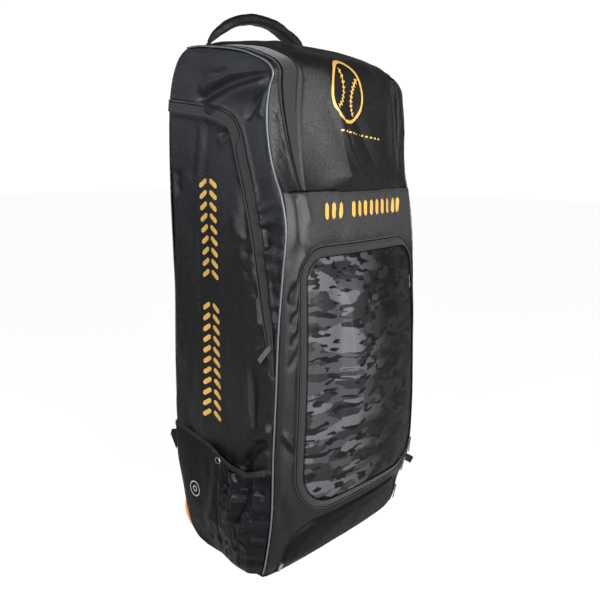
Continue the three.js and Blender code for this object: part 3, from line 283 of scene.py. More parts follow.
@dataclass
class BagForm:
    """The bag's own shape: its side outline, the cloth that wraps over it, and its two sides."""

    width: float = 385.0
    depth: float = 270.0
    height: float = 943.0
    crown: float = 50.0
    fullness: float = 15.0
    swell: float = 9.0
    base_top: float = 3.3
    wall: float = 2.2
    crown_power: float = 2.2
    dents: tuple[Dent, ...] = (
        Dent(-0.06, 0.915, 0.30, 0.022, 18, 4), Dent(-0.10, 0.960, 0.24, 0.020, 8, -2),
        Dent(0.18, 0.560, 0.22, 0.120, 0, 4), Dent(-0.14, 0.480, 0.12, 0.150, 0, -2),
    )
    front_folds: tuple[tuple[float, ...], ...] = (
        (-0.22, 0.45, 0.17, -0.10, 0.13, 0.16), (0.10, 0.82, 0.07, 0.25, 0.10, -0.10),
    )

    def __post_init__(self) -> None:
        """Works out the distances along the outline, which keep its curve even where rows are close."""
        steps = np.diff(OUTLINE_ROWS[:, :2], axis=0) * (self.depth, self.height)
        self.knots = np.concatenate([[0], np.cumsum(np.hypot(steps[:, 0], steps[:, 1]))])
        self.last = len(OUTLINE_ROWS) - 1
        self.last_front = self.place("top heel") + 0.5
        self.crease = self.place("step") + 0.25
        self.heel = self.place("heel top") + 0.17
        front = np.linspace(0, self.place("top heel"), 800)
        self.front_heights = (self.seam(front, -1)[..., 2], front)

    @property
    def half(self) -> float:
        """Half of the body's width."""
        return self.width / 2

    @staticmethod
    def place(name: str) -> int:
        """Row number of a named place of the outline."""
        return OUTLINE_NAMES.index(name)

    def column(self, name: str, station: Array) -> Array:
        """Reads one column of the outline by a cubic curve through its rows, by distance along it.

        Args:
            name: the column's name.
            station: places counted in rows.

        Returns:
            The column's value at each place.
        """
        values = OUTLINE_ROWS[:, OUTLINE_COLUMNS.index(name)]
        rows = np.arange(self.last + 1)
        before, after = np.maximum(rows - 1, 0), np.minimum(rows + 1, self.last)
        slopes = (values[after] - values[before]) / (self.knots[after] - self.knots[before])
        station = np.asarray(station, float)
        low = np.clip(np.floor(station).astype(int), 0, self.last - 1)
        span = self.knots[low + 1] - self.knots[low]
        t = station - low
        start = 2 * t ** 3 - 3 * t ** 2 + 1
        bend = span * ((t ** 3 - 2 * t ** 2 + t) * slopes[low] + (t ** 3 - t ** 2) * slopes[low + 1])
        return start * values[low] + (1 - start) * values[low + 1] + bend

    def stations_between(self, start: float, end: float, spacing: float) -> Array:
        """Places from start to end that lie evenly along the outline.

        Args:
            start: first place, in rows.
            end: last place, in rows.
            spacing: wanted distance between places, in millimetres.

        Returns:
            The places.
        """
        rows = np.arange(self.last + 1)
        reach = np.interp([start, end], rows, self.knots)
        count = int(abs(reach[1] - reach[0]) / spacing) + 2
        return np.interp(np.linspace(reach[0], reach[1], count), self.knots, rows)

    def travel(self, station: Array) -> Array:
        """Distance up the front and over the top, which equals the height at the crease.

        Args:
            station: places along the outline, in rows.

        Returns:
            Distances in millimetres.
        """
        rows = np.arange(self.last + 1)
        origin = np.interp(self.crease, rows, self.knots)
        return np.interp(station, rows, self.knots) - origin + self.seam(np.array(self.crease), -1)[2]

    def half_width(self, y: Array, z: Array) -> Array:
        """Half of the width on the side's surface: it swells to the front below the lid, less its dents.

        Args:
            y: depth of each point.
            z: height of each point.

        Returns:
            Half widths in millimetres.
        """
        forward = smoothstep(0.5 - y / self.depth, 0, 1)
        below = 1 - smoothstep(z / self.height, 0.58, 1)
        total = self.half + self.swell * forward * below
        for dent in self.dents:
            turn = math.radians(dent.turn)
            across, rise = y - dent.back * self.depth, z - dent.up * self.height
            along = (across * math.cos(turn) + rise * math.sin(turn)) / (dent.long * self.depth)
            aside = (rise * math.cos(turn) - across * math.sin(turn)) / (dent.tall * self.height)
            total = total - dent.deep * np.exp(-along ** 2 - aside ** 2)
        return total

    def seam(self, station: Array, side: int) -> Array:
        """Points of a side seam. The right seam stands further out by the fullness column.

        Args:
            station: places along the outline, in rows.
            side: -1 for the left side, 1 for the right one.

        Returns:
            Points in millimetres.
        """
        station = np.asarray(station, float)
        full = self.column("full", station) * self.fullness if side > 0 else 0.0
        y = self.column("back", station) * self.depth - full
        z = self.base_top + self.column("up", station) * (self.height - self.base_top)
        return np.stack([side * self.half_width(y, z), y, z], -1)

    def seam_direction(self, station: Array, side: int) -> Array:
        """Direction of a side seam in the side's plane, as unit vectors.

        Args:
            station: places along the outline, in rows.
            side: -1 for the left side, 1 for the right one.

        Returns:
            Unit vectors.
        """
        step = 0.05
        ahead = self.seam(np.minimum(station + step, self.last), side)
        behind = self.seam(np.maximum(station - step, 0), side)
        return unit((ahead - behind) * (0, 1, 1))

    def inset_seam(self, station: Array, side: int, inset: float) -> Array:
        """The seam moved inwards in the plane of the side.

        Args:
            station: places along the outline, in rows.
            side: -1 for the left side, 1 for the right one.
            inset: how far in, in millimetres.

        Returns:
            Points in millimetres.
        """
        way = self.seam_direction(station, side)
        point = self.seam(station, side)
        y = point[..., 1] + inset * way[..., 2]
        z = np.maximum(point[..., 2] - inset * way[..., 1], self.base_top)
        return np.stack([side * self.half_width(y, z), y, z], -1)

    def front_fold_height(self, across: Array, z: Array) -> Array:
        """The front's two main folds: bells along a leaning line.

        Args:
            across: place across, from -1 to 1.
            z: height of each point.

        Returns:
            Heights in millimetres.
        """
        total = np.zeros(np.broadcast(across, z).shape)
        for place, up, reach, drift, wide, high in self.front_folds:
            along = (z / self.height - up) / reach
            aside = (across - place + drift * along) / wide
            total = total + high * self.crown * np.exp(-along ** 2 - aside ** 2)
        return total

    def wrap(self, station: Array, across: Array, proud: Array | float = 0.0) -> Array:
        """Points of the cloth that wraps the front, top and back.

        The two seams are mixed straight across, and the cloth stands out by crown (1 - |t|^p)^(1/q) along
        the row's lean.

        Args:
            station: place along the outline, in rows.
            across: from -1 at the left seam to 1 at the right one.
            proud: further distance outwards, in millimetres.

        Returns:
            Points in millimetres.
        """
        station, across = np.broadcast_arrays(np.asarray(station, float), np.asarray(across, float))
        left, right = self.seam(station, -1), self.seam(station, 1)
        share = (across + 1) / 2
        lean = np.radians(self.column("lean", station))
        outer = 1 + (self.crown_power - 1) * np.clip(self.column("steep", station), 0, 1)
        arch = np.maximum(1 - np.abs(across) ** self.crown_power, 0) ** (1 / outer)
        front = np.where(left[..., 1] < 0, self.front_fold_height(across, left[..., 2]), 0)
        rise = np.maximum(self.column("crown", station), 0) * self.crown * arch + front + proud
        x = mix(left[..., 0], right[..., 0], share)
        y = mix(left[..., 1], right[..., 1], share) - rise * np.cos(lean)
        return np.stack([x, y, left[..., 2] + rise * np.sin(lean)], -1)

    def wrap_reach(self, station: Array, side: int, clearance: float = 2.8) -> Array:
        """How far across the wrap cloth reaches before it meets the piping, by halving.

        Args:
            station: places along the outline, in rows.
            side: -1 for the left side, 1 for the right one.
            clearance: distance kept from the seam.

        Returns:
            Places across, from 0 to 1.
        """
        station = np.asarray(station, float)
        seam = self.seam(station, side)
        step = 0.05
        way = unit(self.seam(station + step, side) - self.seam(np.maximum(station - step, 0), side))
        near, far = np.full(station.shape, 0.9), np.ones(station.shape)
        for _ in range(24):
            middle = (near + far) / 2
            offset = self.wrap(station, side * middle) - seam
            offset = offset - way * (offset * way).sum(-1, keepdims=True)
            clear = np.linalg.norm(offset, axis=-1) > clearance
            near, far = np.where(clear, middle, near), np.where(clear, far, middle)
        return near

    def front_station(self, z: Array) -> Array:
        """Place on the front whose seam is at a height."""
        return np.interp(z, *self.front_heights)

    def front(self, x: Array, z: Array, proud: Array | float = 0.0) -> Array:
        """Points of the front cloth that lie at given x and height.

        Args:
            x: place across of each point.
            z: height of each point.
            proud: further distance outwards, in millimetres.

        Returns:
            Points in millimetres.
        """
        x, z = np.broadcast_arrays(np.asarray(x, float), np.asarray(z, float))
        station = self.front_station(z)
        left, right = self.seam(station, -1)[..., 0], self.seam(station, 1)[..., 0]
        return self.wrap(station, 2 * (x - left) / (right - left) - 1, proud)

    def crease_proud(self, station: Array) -> Array:
        """How far the lower front stands out as it nears the crease."""
        return 4.5 * smoothstep(station, self.place("name band") - 0.4, self.crease)

    def back_station(self, front_station: Array) -> Array:
        """Place on the back that faces a place on the front, across the side.

        Args:
            front_station: place on the front, in rows.

        Returns:
            Places in rows.
        """
        top, brow = self.place("back top"), self.place("brow")
        rows = np.linspace(self.last, top, 600)
        level = np.interp(self.seam(front_station, -1)[..., 2], self.seam(rows, -1)[..., 2], rows)
        share = (front_station - brow) / (self.last_front - brow)
        over = mix(top, self.last_front + 0.3, share)
        return np.where(front_station >= brow, over, level)

    def rear_depth(self, z: Array) -> Array:
        """Depth of the rear seam at a height, on the lower back.

        Args:
            z: height of each point.

        Returns:
            Depths in millimetres.
        """
        rows = np.linspace(self.last, self.place("back lower"), 400)
        seam = self.seam(rows, -1)
        return np.interp(z, seam[:, 2], seam[:, 1])

    def front_depth(self, z: Array, side: int) -> Array:
        """Depth of the front seam at a height, on the lower front.

        Args:
            z: height of each point.
            side: -1 for the left side, 1 for the right one.

        Returns:
            Depths in millimetres.
        """
        rows = np.linspace(0, self.place("pocket middle"), 400)
        seam = self.seam(rows, side)
        return np.interp(z, seam[:, 2], seam[:, 1])

    def back_surface(self, out: Array, z: Array) -> Array:
        """Points of the back cloth at a share of the half width and a height.

        Args:
            out: share of the half width.
            z: height of each point.

        Returns:
            Points in millimetres.
        """
        out, z = np.broadcast_arrays(np.asarray(out, float), np.asarray(z, float))
        rows = np.linspace(self.last, self.place("back top") - 0.5, 600)
        station = np.interp(z, self.seam(rows, -1)[:, 2], rows)
        return self.wrap(station, out)


FORM = BagForm()


def normals_of(points: Array, outward: Sequence[float]) -> Array:
    """Unit normals of a grid of points, turned to the side that a direction names.

    Args:
        points: grid of points, rows by columns by 3.
        outward: a direction that the normals should lean towards on the whole.

    Returns:
        Normals, of the same shape.
    """
    normal = np.cross(np.gradient(points, axis=0), np.gradient(points, axis=1))
    normal = normal / np.maximum(np.linalg.norm(normal, axis=-1, keepdims=True), 1e-9)
    return normal if (normal * np.asarray(outward)).sum() > 0 else -normal


def unit(vectors: Array) -> Array:
    """Vectors brought to length 1."""
    return vectors / np.linalg.norm(vectors, axis=-1, keepdims=True)


def facing(path: Array, x: float, y: float, z: float) -> Array:
    """The same direction at each point of a path."""
    return np.broadcast_to((float(x), float(y), float(z)), path.shape)


def bell(value: Array, centre: Array | float, width: float) -> Array:
    """A bell of height 1 round a centre: exp(-((value - centre) / width)^2)."""
    return np.exp(-((value - centre) / width) ** 2)


def lifted(points: Array, height: Array | float, outward: Sequence[float]) -> Array:
    """A grid of points moved along its own normals."""
    return points + normals_of(points, outward) * np.asarray(height)[..., None]


@dataclass
class MeshParts:
    """Vertices in millimetres, faces and texture places of a piece under construction."""

    points: list[Array] = field(default_factory=list)
    faces: list[Array] = field(default_factory=list)
    places: list[Array] = field(default_factory=list)
    count: int = 0

    def add_grid(self, points: Array, outward: Sequence[float] | None = None, round_rows: bool = False,
                 round_columns: bool = False, places: Array | None = None) -> "MeshParts":
        """Adds a grid of quads.

        Args:
            points: rows by columns by 3, in millimetres.
            outward: a direction the faces should look towards on the whole, or None for a closed shape,
                whose faces are turned so that its volume is positive.
            round_rows: whether the last row joins the first.
            round_columns: whether the last column joins the first.
            places: texture places in metres, rows by columns by 2, or None for distances along the grid.

        Returns:
            This object.
        """
        rows, columns = points.shape[:2]
        row = np.arange(rows if round_rows else rows - 1)
        column = np.arange(columns if round_columns else columns - 1)
        i, j = np.meshgrid(row, column, indexing="ij")
        after_i, after_j = (i + 1) % rows, (j + 1) % columns
        quads = np.stack([i * columns + j, after_i * columns + j, after_i * columns + after_j,
                          i * columns + after_j], -1).reshape(-1, 4)
        flat = points.reshape(-1, 3)
        corner = flat[quads]
        across = np.cross(corner[:, 2] - corner[:, 0], corner[:, 3] - corner[:, 1])
        if outward is None:
            middle = corner.mean(1) - flat.mean(0)
            turned = (across * middle).sum() < 0
        else:
            turned = (across * np.asarray(outward)).sum() < 0
        if turned:
            quads = quads[:, ::-1]
        if places is None:
            along = np.linalg.norm(np.diff(points, axis=0), axis=-1).mean(1)
            aside = np.linalg.norm(np.diff(points, axis=1), axis=-1).mean(0)
            v = np.concatenate([[0], np.cumsum(along)]) * MM
            u = np.concatenate([[0], np.cumsum(aside)]) * MM
            places = np.stack(np.broadcast_arrays(u[None, :], v[:, None]), -1)
        self.points.append(flat)
        self.faces.append(quads + self.count)
        self.places.append(places.reshape(-1, 2))
        self.count += len(flat)
        return self

    def add_copies(self, points: Array, quads: Array, frames: Array) -> "MeshParts":
        """Adds one small shape many times.

        Args:
            points: the shape's points.
            quads: the shape's faces.
            frames: one 3 by 4 matrix for each copy, whose last column is its place.

        Returns:
            This object.
        """
        placed = np.einsum("nij,pj->npi", frames[:, :, :3], points) + frames[:, None, :, 3]
        offsets = np.arange(len(frames))[:, None, None] * len(points)
        self.points.append(placed.reshape(-1, 3))
        self.faces.append((quads[None] + offsets).reshape(-1, 4) + self.count)
        self.places.append(placed.reshape(-1, 3)[:, :2] * MM)
        self.count += placed.shape[0] * placed.shape[1]
        return self

    def finish(self, name: str, smooth: bool = True) -> bpy.types.Object:
        """Makes the Blender object.

        Args:
            name: the object's name.
            smooth: whether its faces are shaded smooth.

        Returns:
            The object, linked to the scene.
        """
        points = np.concatenate(self.points) * MM
        faces = np.concatenate(self.faces)
        places = np.concatenate(self.places)
        mesh = bpy.data.meshes.new(name)
        mesh.from_pydata(points, [], faces)
        layer = mesh.uv_layers.new(name="UVMap")
        layer.data.foreach_set("uv", places[faces.ravel()].ravel().astype(np.float32))
        mesh.polygons.foreach_set("use_smooth", np.full(len(faces), smooth))
        mesh.validate()
        mesh.update()
        made = bpy.data.objects.new(name, mesh)
        bpy.context.scene.collection.objects.link(made)
        return made


def rimmed(points: Array, depth: float, outward: Sequence[float], edges: str = "nsew") -> Array:
    """A sheet's grid with a rim turned inwards round it, so that its edge has a thickness.

    Args:
        points: the sheet's grid.
        depth: depth of the rim, in millimetres.
        outward: a direction the sheet faces.
        edges: which edges get a rim: n last row, s first row, e last column, w first column.

    Returns:
        The larger grid.
    """
    normal = normals_of(points, outward)
    pads = ((int("s" in edges), int("n" in edges)), (int("w" in edges), int("e" in edges)), (0, 0))
    wide = np.pad(points, pads, mode="edge")
    inner = np.pad(normal, pads, mode="edge")
    sunk = np.pad(np.zeros(points.shape[:2]), pads[:2], constant_values=1)
    return wide - inner * sunk[..., None] * depth


def tube(path: Array, wide: Array, section: Array, closed: bool = False) -> Array:
    """Carries a flat section along a path.

    Args:
        path: points along the path.
        wide: one direction for each point, which the section's first axis keeps near.
        section: the section's points, as (wide, thick) pairs, or one list of them for each path point.
        closed: whether the path is a loop.

    Returns:
        Grid of points, path by section.
    """
    if closed:
        way = np.roll(path, -1, 0) - np.roll(path, 1, 0)
    else:
        way = np.gradient(path, axis=0)
    way = unit(way)
    wide = unit(wide - way * (wide * way).sum(-1, keepdims=True))
    thick = np.cross(way, wide)
    section = np.broadcast_to(section, (len(path),) + section.shape[-2:])
    return path[:, None] + wide[:, None] * section[..., :1] + thick[:, None] * section[..., 1:]


def capped(grid: Array, bulge: float = 0.0) -> Array:
    """A tube's grid with both ends drawn together to a point, so that it is closed.

    Args:
        grid: path by section by 3.
        bulge: how far the end's middle stands out past the end, in millimetres.

    Returns:
        The longer grid.
    """
    ends = []
    for first, second in ((grid[0], grid[1]), (grid[-1], grid[-2])):
        middle = first.mean(0)
        way = unit(middle - second.mean(0))
        ring = middle + (first - middle) * 0.55 + way * bulge * 0.8
        point = np.broadcast_to(middle + way * bulge, first.shape)
        ends.append((ring, point))
    return np.concatenate([ends[0][1][None], ends[0][0][None], grid, ends[1][0][None], ends[1][1][None]])


def flat_oval(width: float, thickness: float, power: float = 4.0, count: int = 24) -> Array:
    """A section with flat faces and rounded edges: |a|^p + |b|^p = 1.

    Args:
        width: its width.
        thickness: its thickness.
        power: higher is squarer.
        count: number of points.

    Returns:
        The section's points.
    """
    angle = np.linspace(0, 2 * np.pi, count, endpoint=False)
    c, s = np.cos(angle), np.sin(angle)
    return np.stack([np.sign(c) * np.abs(c) ** (2 / power) * width / 2,
                     np.sign(s) * np.abs(s) ** (2 / power) * thickness / 2], -1)


def smooth_path(points: Sequence[Sequence[float]], count: int) -> Array:
    """A smooth curve through points, evenly spaced: a Catmull-Rom curve sampled by length.

    Args:
        points: the points it passes.
        count: number of places wanted.

    Returns:
        The curve's points.
    """
    given = np.array(points, float)
    padded = np.concatenate([2 * given[:1] - given[1:2], given, 2 * given[-1:] - given[-2:-1]])
    place = np.linspace(0, len(given) - 1, 40 * len(given))
    low = np.minimum(place.astype(int), len(given) - 2)
    t = (place - low)[:, None]
    a, b, c, d = (padded[low + k] for k in range(4))
    square, cube = 2 * a - 5 * b + 4 * c - d, 3 * b - a - 3 * c + d
    fine = 0.5 * (2 * b + (c - a) * t + square * t ** 2 + cube * t ** 3)
    return resampled(fine, count)


def reach_along(path: Array) -> Array:
    """Distance along a path up to each of its points."""
    return np.concatenate([[0], np.cumsum(np.linalg.norm(np.diff(path, axis=0), axis=-1))])


def resampled(path: Array, count: int, closed: bool = False) -> Array:
    """A path's points moved to even distances along it.

    Args:
        path: points along the path.
        count: number of points.
        closed: whether the path is a loop.

    Returns:
        The moved points.
    """
    given = np.concatenate([path, path[:1]]) if closed else path
    length = reach_along(given)
    wanted = np.linspace(0, length[-1], count, endpoint=not closed)
    return np.stack([np.interp(wanted, length, given[:, k]) for k in range(given.shape[1])], -1)


def path_length(path: Array) -> float:
    """Length of a path."""
    return float(np.linalg.norm(np.diff(path, axis=0), axis=-1).sum())


def stitch_shape(length: float, radius: float) -> tuple[Array, Array]:
    """One raised stitch: a six-sided thread that dips at both ends.

    Args:
        length: the stitch's length.
        radius: the thread's radius.

    Returns:
        Its points and faces.
    """
    along = np.array([-0.5, -0.38, 0.0, 0.38, 0.5])
    girth = np.array([0.3, 1.0, 1.1, 1.0, 0.3])
    dip = np.array([-0.9, 0.0, 0.3, 0.0, -0.9])
    angle = np.linspace(0, 2 * np.pi, 6, endpoint=False)
    x = np.repeat(along[:, None] * length, 6, 1)
    y = np.cos(angle) * radius * girth[:, None]
    z = np.sin(angle) * radius * girth[:, None] + dip[:, None] * radius
    points = np.stack([x, y, z], -1).reshape(-1, 3)
    i, j = np.meshgrid(np.arange(4), np.arange(6), indexing="ij")
    after = (j + 1) % 6
    quads = np.stack([i * 6 + j, i * 6 + after, (i + 1) * 6 + after, (i + 1) * 6 + j], -1).reshape(-1, 4)
    return points, quads


def stitched(parts: MeshParts, path: Array, normal: Array, pitch: float = 3.4, length: float = 2.5,
             radius: float = 0.38) -> None:
    """Lays a row of stitches along a path.

    Args:
        parts: the mesh that gets them.
        path: points along the seam.
        normal: the cloth's outward direction at each point.
        pitch: distance from stitch to stitch.
        length: a stitch's own length.
        radius: the thread's radius.
    """
    count = max(int(path_length(path) / pitch), 2)
    centre = resampled(path, count)
    reach = reach_along(path)
    wanted = np.linspace(0, reach[-1], count)
    up = np.stack([np.interp(wanted, reach, normal[:, k]) for k in range(3)], -1)
    way = unit(np.gradient(centre, axis=0))
    up = unit(up - way * (up * way).sum(-1, keepdims=True))
    aside = np.cross(up, way)
    frames = np.stack([way, aside, up, centre + up * radius * 0.6], -1)
    points, quads = stitch_shape(length, radius)
    parts.add_copies(points, quads, frames)


class Sock:
    """A shader socket with arithmetic: each operation adds one Math node."""

    def __init__(self, tree: bpy.types.NodeTree, socket: bpy.types.NodeSocket) -> None:
        """Keeps the node tree and the output socket."""
        self.tree = tree
        self.socket = socket

    def math(self, operation: str, *values: "Sock | float") -> "Sock":
        """Adds a Math node.

        Args:
            operation: Blender's name of the operation.
            values: its inputs, sockets or numbers.

        Returns:
            Its output.
        """
        node = self.tree.nodes.new("ShaderNodeMath")
        node.operation = operation
        for place, value in enumerate(values):
            if isinstance(value, Sock):
                self.tree.links.new(value.socket, node.inputs[place])
            else:
                node.inputs[place].default_value = value
        return Sock(self.tree, node.outputs[0])

    def __add__(self, other: "Sock | float") -> "Sock":
        """Sum."""
        return self.math("ADD", self, other)

    __radd__ = __add__

    def __sub__(self, other: "Sock | float") -> "Sock":
        """Difference."""
        return self.math("SUBTRACT", self, other)

    def __rsub__(self, other: float) -> "Sock":
        """Difference from a number."""
        return self.math("SUBTRACT", other, self)

    def __mul__(self, other: "Sock | float") -> "Sock":
        """Product."""
        return self.math("MULTIPLY", self, other)

    __rmul__ = __mul__

    def __truediv__(self, other: "Sock | float") -> "Sock":
        """Quotient."""
        return self.math("DIVIDE", self, other)

    def absolute(self) -> "Sock":
        """Value without its sign."""
        return self.math("ABSOLUTE", self)

    def sine(self) -> "Sock":
        """Sine."""
        return self.math("SINE", self)

    def clamped(self) -> "Sock":
        """Kept from 0 to 1."""
        return self.math("MINIMUM", self.math("MAXIMUM", self, 0.0), 1.0)

    def step(self, low: float, high: float) -> "Sock":
        """A straight rise from 0 at low to 1 at high."""
        return ((self - low) * (1 / (high - low))).clamped()


class Shader:
    """A material under construction: its tree, its surface shader and one method for any other node."""

    lamp_gain = 2.1

    def __init__(self, name: str) -> None:
        """Starts a material with a Principled shader.

        Args:
            name: the material's name.
        """
        self.material = bpy.data.materials.new(name)
        self.material.use_nodes = True
        self.tree = self.material.node_tree
        self.surface = self.tree.nodes["Principled BSDF"]

    def node(self, kind: str, settings: dict | None = None, **values: object) -> bpy.types.Node:
        """Adds a node, sets it and feeds it.

        Args:
            kind: the node's type without its ShaderNode prefix.
            settings: attributes of the node, set first.
            values: values or links of its inputs, by name with underscores for spaces.

        Returns:
            The node.
        """
        node = self.tree.nodes.new("ShaderNode" + kind)
        for key, value in (settings or {}).items():
            setattr(node, key, value)
        for key, value in values.items():
            self.feed(node.inputs[key.replace("_", " ")], value)
        return node

    def feed(self, target: bpy.types.NodeSocket, value: object) -> None:
        """Links a socket or sets a number, colour or vector.

        Args:
            target: the input socket.
            value: what goes into it.
        """
        if isinstance(value, Sock):
            self.tree.links.new(value.socket, target)
        elif isinstance(value, bpy.types.NodeSocket):
            self.tree.links.new(value, target)
        else:
            target.default_value = value

    def coordinates(self, source: str = "Object") -> tuple[Sock, Sock, Sock]:
        """The three parts of a coordinate, in metres.

        Args:
            source: the coordinate's name.

        Returns:
            Its x, y and z.
        """
        place = self.node("TexCoord")
        parts = self.node("SeparateXYZ", Vector=place.outputs[source])
        return tuple(Sock(self.tree, parts.outputs[axis]) for axis in "XYZ")

    def vector(self, x: Sock | float, y: Sock | float, z: Sock | float) -> Sock:
        """A vector from three values."""
        return Sock(self.tree, self.node("CombineXYZ", X=x, Y=y, Z=z).outputs[0])

    def noise(self, vector: Sock, scale: float, detail: float = 2.0, roughness: float = 0.5) -> Sock:
        """A noise value from 0 to 1 at a place."""
        made = self.node("TexNoise", Vector=vector, Scale=scale, Detail=detail, Roughness=roughness)
        return Sock(self.tree, made.outputs["Fac"])

    def blend(self, share: Sock, low: Sequence[float] | Sock, high: Sequence[float] | Sock) -> Sock:
        """Mixes two colours.

        Args:
            share: how much of the second colour shows.
            low: the first colour.
            high: the second colour.

        Returns:
            The mixed colour.
        """
        node = self.node("Mix", {"data_type": "RGBA"})
        self.feed(node.inputs[0], share)
        for place, colour in ((6, low), (7, high)):
            self.feed(node.inputs[place], colour if isinstance(colour, Sock) else (*colour, 1.0))
        return Sock(self.tree, node.outputs[2])

    def bump(self, height: Sock, distance: float, strength: float = 1.0) -> None:
        """Feeds the surface's normal from a height.

        Args:
            height: height from 0 to 1.
            distance: what a height of 1 stands for, in metres.
            strength: share of the bump.
        """
        node = self.node("Bump", Height=height, Distance=distance, Strength=strength)
        self.feed(self.surface.inputs["Normal"], node.outputs["Normal"])

    def set(self, **values: object) -> None:
        """Sets or links inputs of the surface shader, with tones for the studio's strong lamps."""
        for key, value in values.items():
            if key == "Base_Color":
                value = self.blend(1 / self.lamp_gain, (0.0, 0.0, 0.0), value)
            elif key == "Specular_IOR_Level":
                value = value / self.lamp_gain
            self.feed(self.surface.inputs[key.replace("_", " ")], value)


@dataclass(frozen=True)
class WovenCloth:
    """Black or grey woven cloth with a fine weave, soft patches of tone and a sheen; its tone also changes
    with height, as painted light on most pieces and as a lighter name band on the front.
    """

    name: str
    shade: tuple[float, float, float]
    warm: tuple[float, float, float]
    roughness: float = 0.5
    sheen: float = 0.25
    specular: float = 0.4
    thread: float = 0.0009
    depth: float = 0.00016
    fade: tuple[float, float] | None = None

    def make(self) -> bpy.types.Material:
        """Builds the material: tone by slow noise and by height (painted light, except on the front), weave
        from the UV map in metres.
        """
        shader = Shader(self.name)
        u, v, _ = shader.coordinates("UV")
        x, y, z = shader.coordinates("Object")
        place = shader.vector(x, y, z)
        turn = 2 * math.pi / self.thread
        over = (u * turn).sine() * (v * turn).sine()
        ribs = ((u + v) * (turn * 0.5)).sine()
        fine = shader.noise(place, 1400.0, 1.0)
        slubs = shader.noise(place, 230.0, 2.0, 0.6)
        patch = shader.noise(place, 14.0, 3.0, 0.55)
        grain = shader.noise(place, 420.0, 2.0, 0.6)
        mottle = shader.noise(place, 240.0, 2.0, 0.6).step(0.38, 0.62)
        # Painted light: the tone rises with height, so the cloth is lighter and cooler higher up and a
        # warmer, darker painted shade low down.
        tone = (patch * 0.55 + grain * 0.6 + z * 0.25 - 0.3).clamped()
        # With a fade the tone follows height over a span instead. On the sides (black_cloth) this is painted
        # light: lighter and bluer above, a warm painted shade below. On the front (front_cloth) it makes the
        # name band above about 0.6 m lighter.
        if self.fade:
            tone = (z + patch * 0.1 - 0.05).step(*self.fade) * (0.75 + mottle * 0.5)
        shader.set(Base_Color=shader.blend(tone, self.warm, self.shade),
                   Roughness=(self.roughness - 0.19) + grain * 0.2 + patch * 0.06 + mottle * 0.13)
        shader.set(Specular_IOR_Level=self.specular, Sheen_Weight=self.sheen, Sheen_Roughness=0.4,
                   Sheen_Tint=(0.72, 0.8, 1.0, 1.0))
        shader.bump(over * 0.3 + ribs * 0.2 + fine * 0.5 + grain * 0.7 + slubs * 4.2, self.depth)
        return shader.material


@dataclass(frozen=True)
class CamouflageCloth:
    """Shiny woven cloth with a generic tonal camouflage of wide, low patches, and an optional painted shade
    that darkens it towards +x.
    """

    name: str
    tones: tuple[tuple[float, float, float], ...]
    roughness: float
    wide: float = 0.036
    low: float = 0.0155
    edge_width: float = 0.004
    weave: float = 4200.0
    # Share of painted shade: how far the part right of the middle (+x) is darkened towards the darkest tone.
    shade: float = 0.0

    def make(self) -> bpy.types.Material:
        """Builds the material: four tones parted by thresholds of stretched, wavering noise, and a painted
        shade towards +x.
        """
        shader = Shader(self.name)
        x, y, z = shader.coordinates("Object")
        across = x + y * 0.8
        ragged = shader.noise(shader.vector(across, 0.0, z * 1.6), 85.0, 5.0, 0.75)
        waver = (ragged - 0.5) * 0.55
        colour = self.tones[1]
        for shift, scale, detail, share, edge, tone in (
            (3.1, 0.62, 1.5, 0.35, 0.500, 2),
            (9.7, 0.50, 1.5, 0.30, 0.545, 3),
            (17.3, 1.15, 1.0, 0.30, 0.575, 0),
        ):
            place = shader.vector(across / self.wide, shift, z / self.low)
            patch = shader.noise(place, scale, detail, 0.5) + waver * share
            colour = shader.blend(patch.step(edge, edge + self.edge_width), colour, self.tones[tone])
        grain = shader.noise(shader.vector(x, y, z), 600.0, 2.0, 0.6)
        weave = (across * self.weave).sine() * (z * self.weave).sine()
        # Painted shade: from x = -55 mm to 45 mm and beyond, the colour is mixed towards the darkest tone by
        # the shade share.
        colour = shader.blend(x.step(-0.055, 0.045) * self.shade, colour, self.tones[0])
        shader.set(Base_Color=colour, Roughness=self.roughness - 0.06 + grain * 0.14, Specular_IOR_Level=0.17,
                   Sheen_Weight=0.0, Sheen_Roughness=0.4)
        shader.bump(weave * 0.4 + grain, 0.00012)
        return shader.material


@dataclass(frozen=True)
class ZipTape:
    """Matt ribbed tape of a zip, olive grey."""

    name: str
    shade: tuple[float, float, float]
    roughness: float = 0.72

    def make(self) -> bpy.types.Material:
        """Builds the material: fine ribs along the tape from its UV map, and grain."""
        shader = Shader(self.name)
        u, v, _ = shader.coordinates("UV")
        x, y, z = shader.coordinates("Object")
        grain = shader.noise(shader.vector(x, y, z), 700.0, 2.0, 0.6)
        slow = shader.noise(shader.vector(x, y, z), 22.0, 2.0, 0.5)
        ribs = (u * (2 * math.pi / 0.0011)).sine() * (v * (2 * math.pi / 0.0014)).sine()
        darker = tuple(0.6 * part for part in self.shade)
        tone = (grain * 0.7 + slow * 0.5 - 0.1).clamped()
        shader.set(Base_Color=shader.blend(tone, darker, self.shade), Specular_IOR_Level=0.14,
                   Roughness=self.roughness - 0.05 + grain * 0.12, Sheen_Weight=0.06, Sheen_Roughness=0.45)
        shader.bump(ribs * 0.5 + grain * 0.7, 0.00018)
        return shader.material


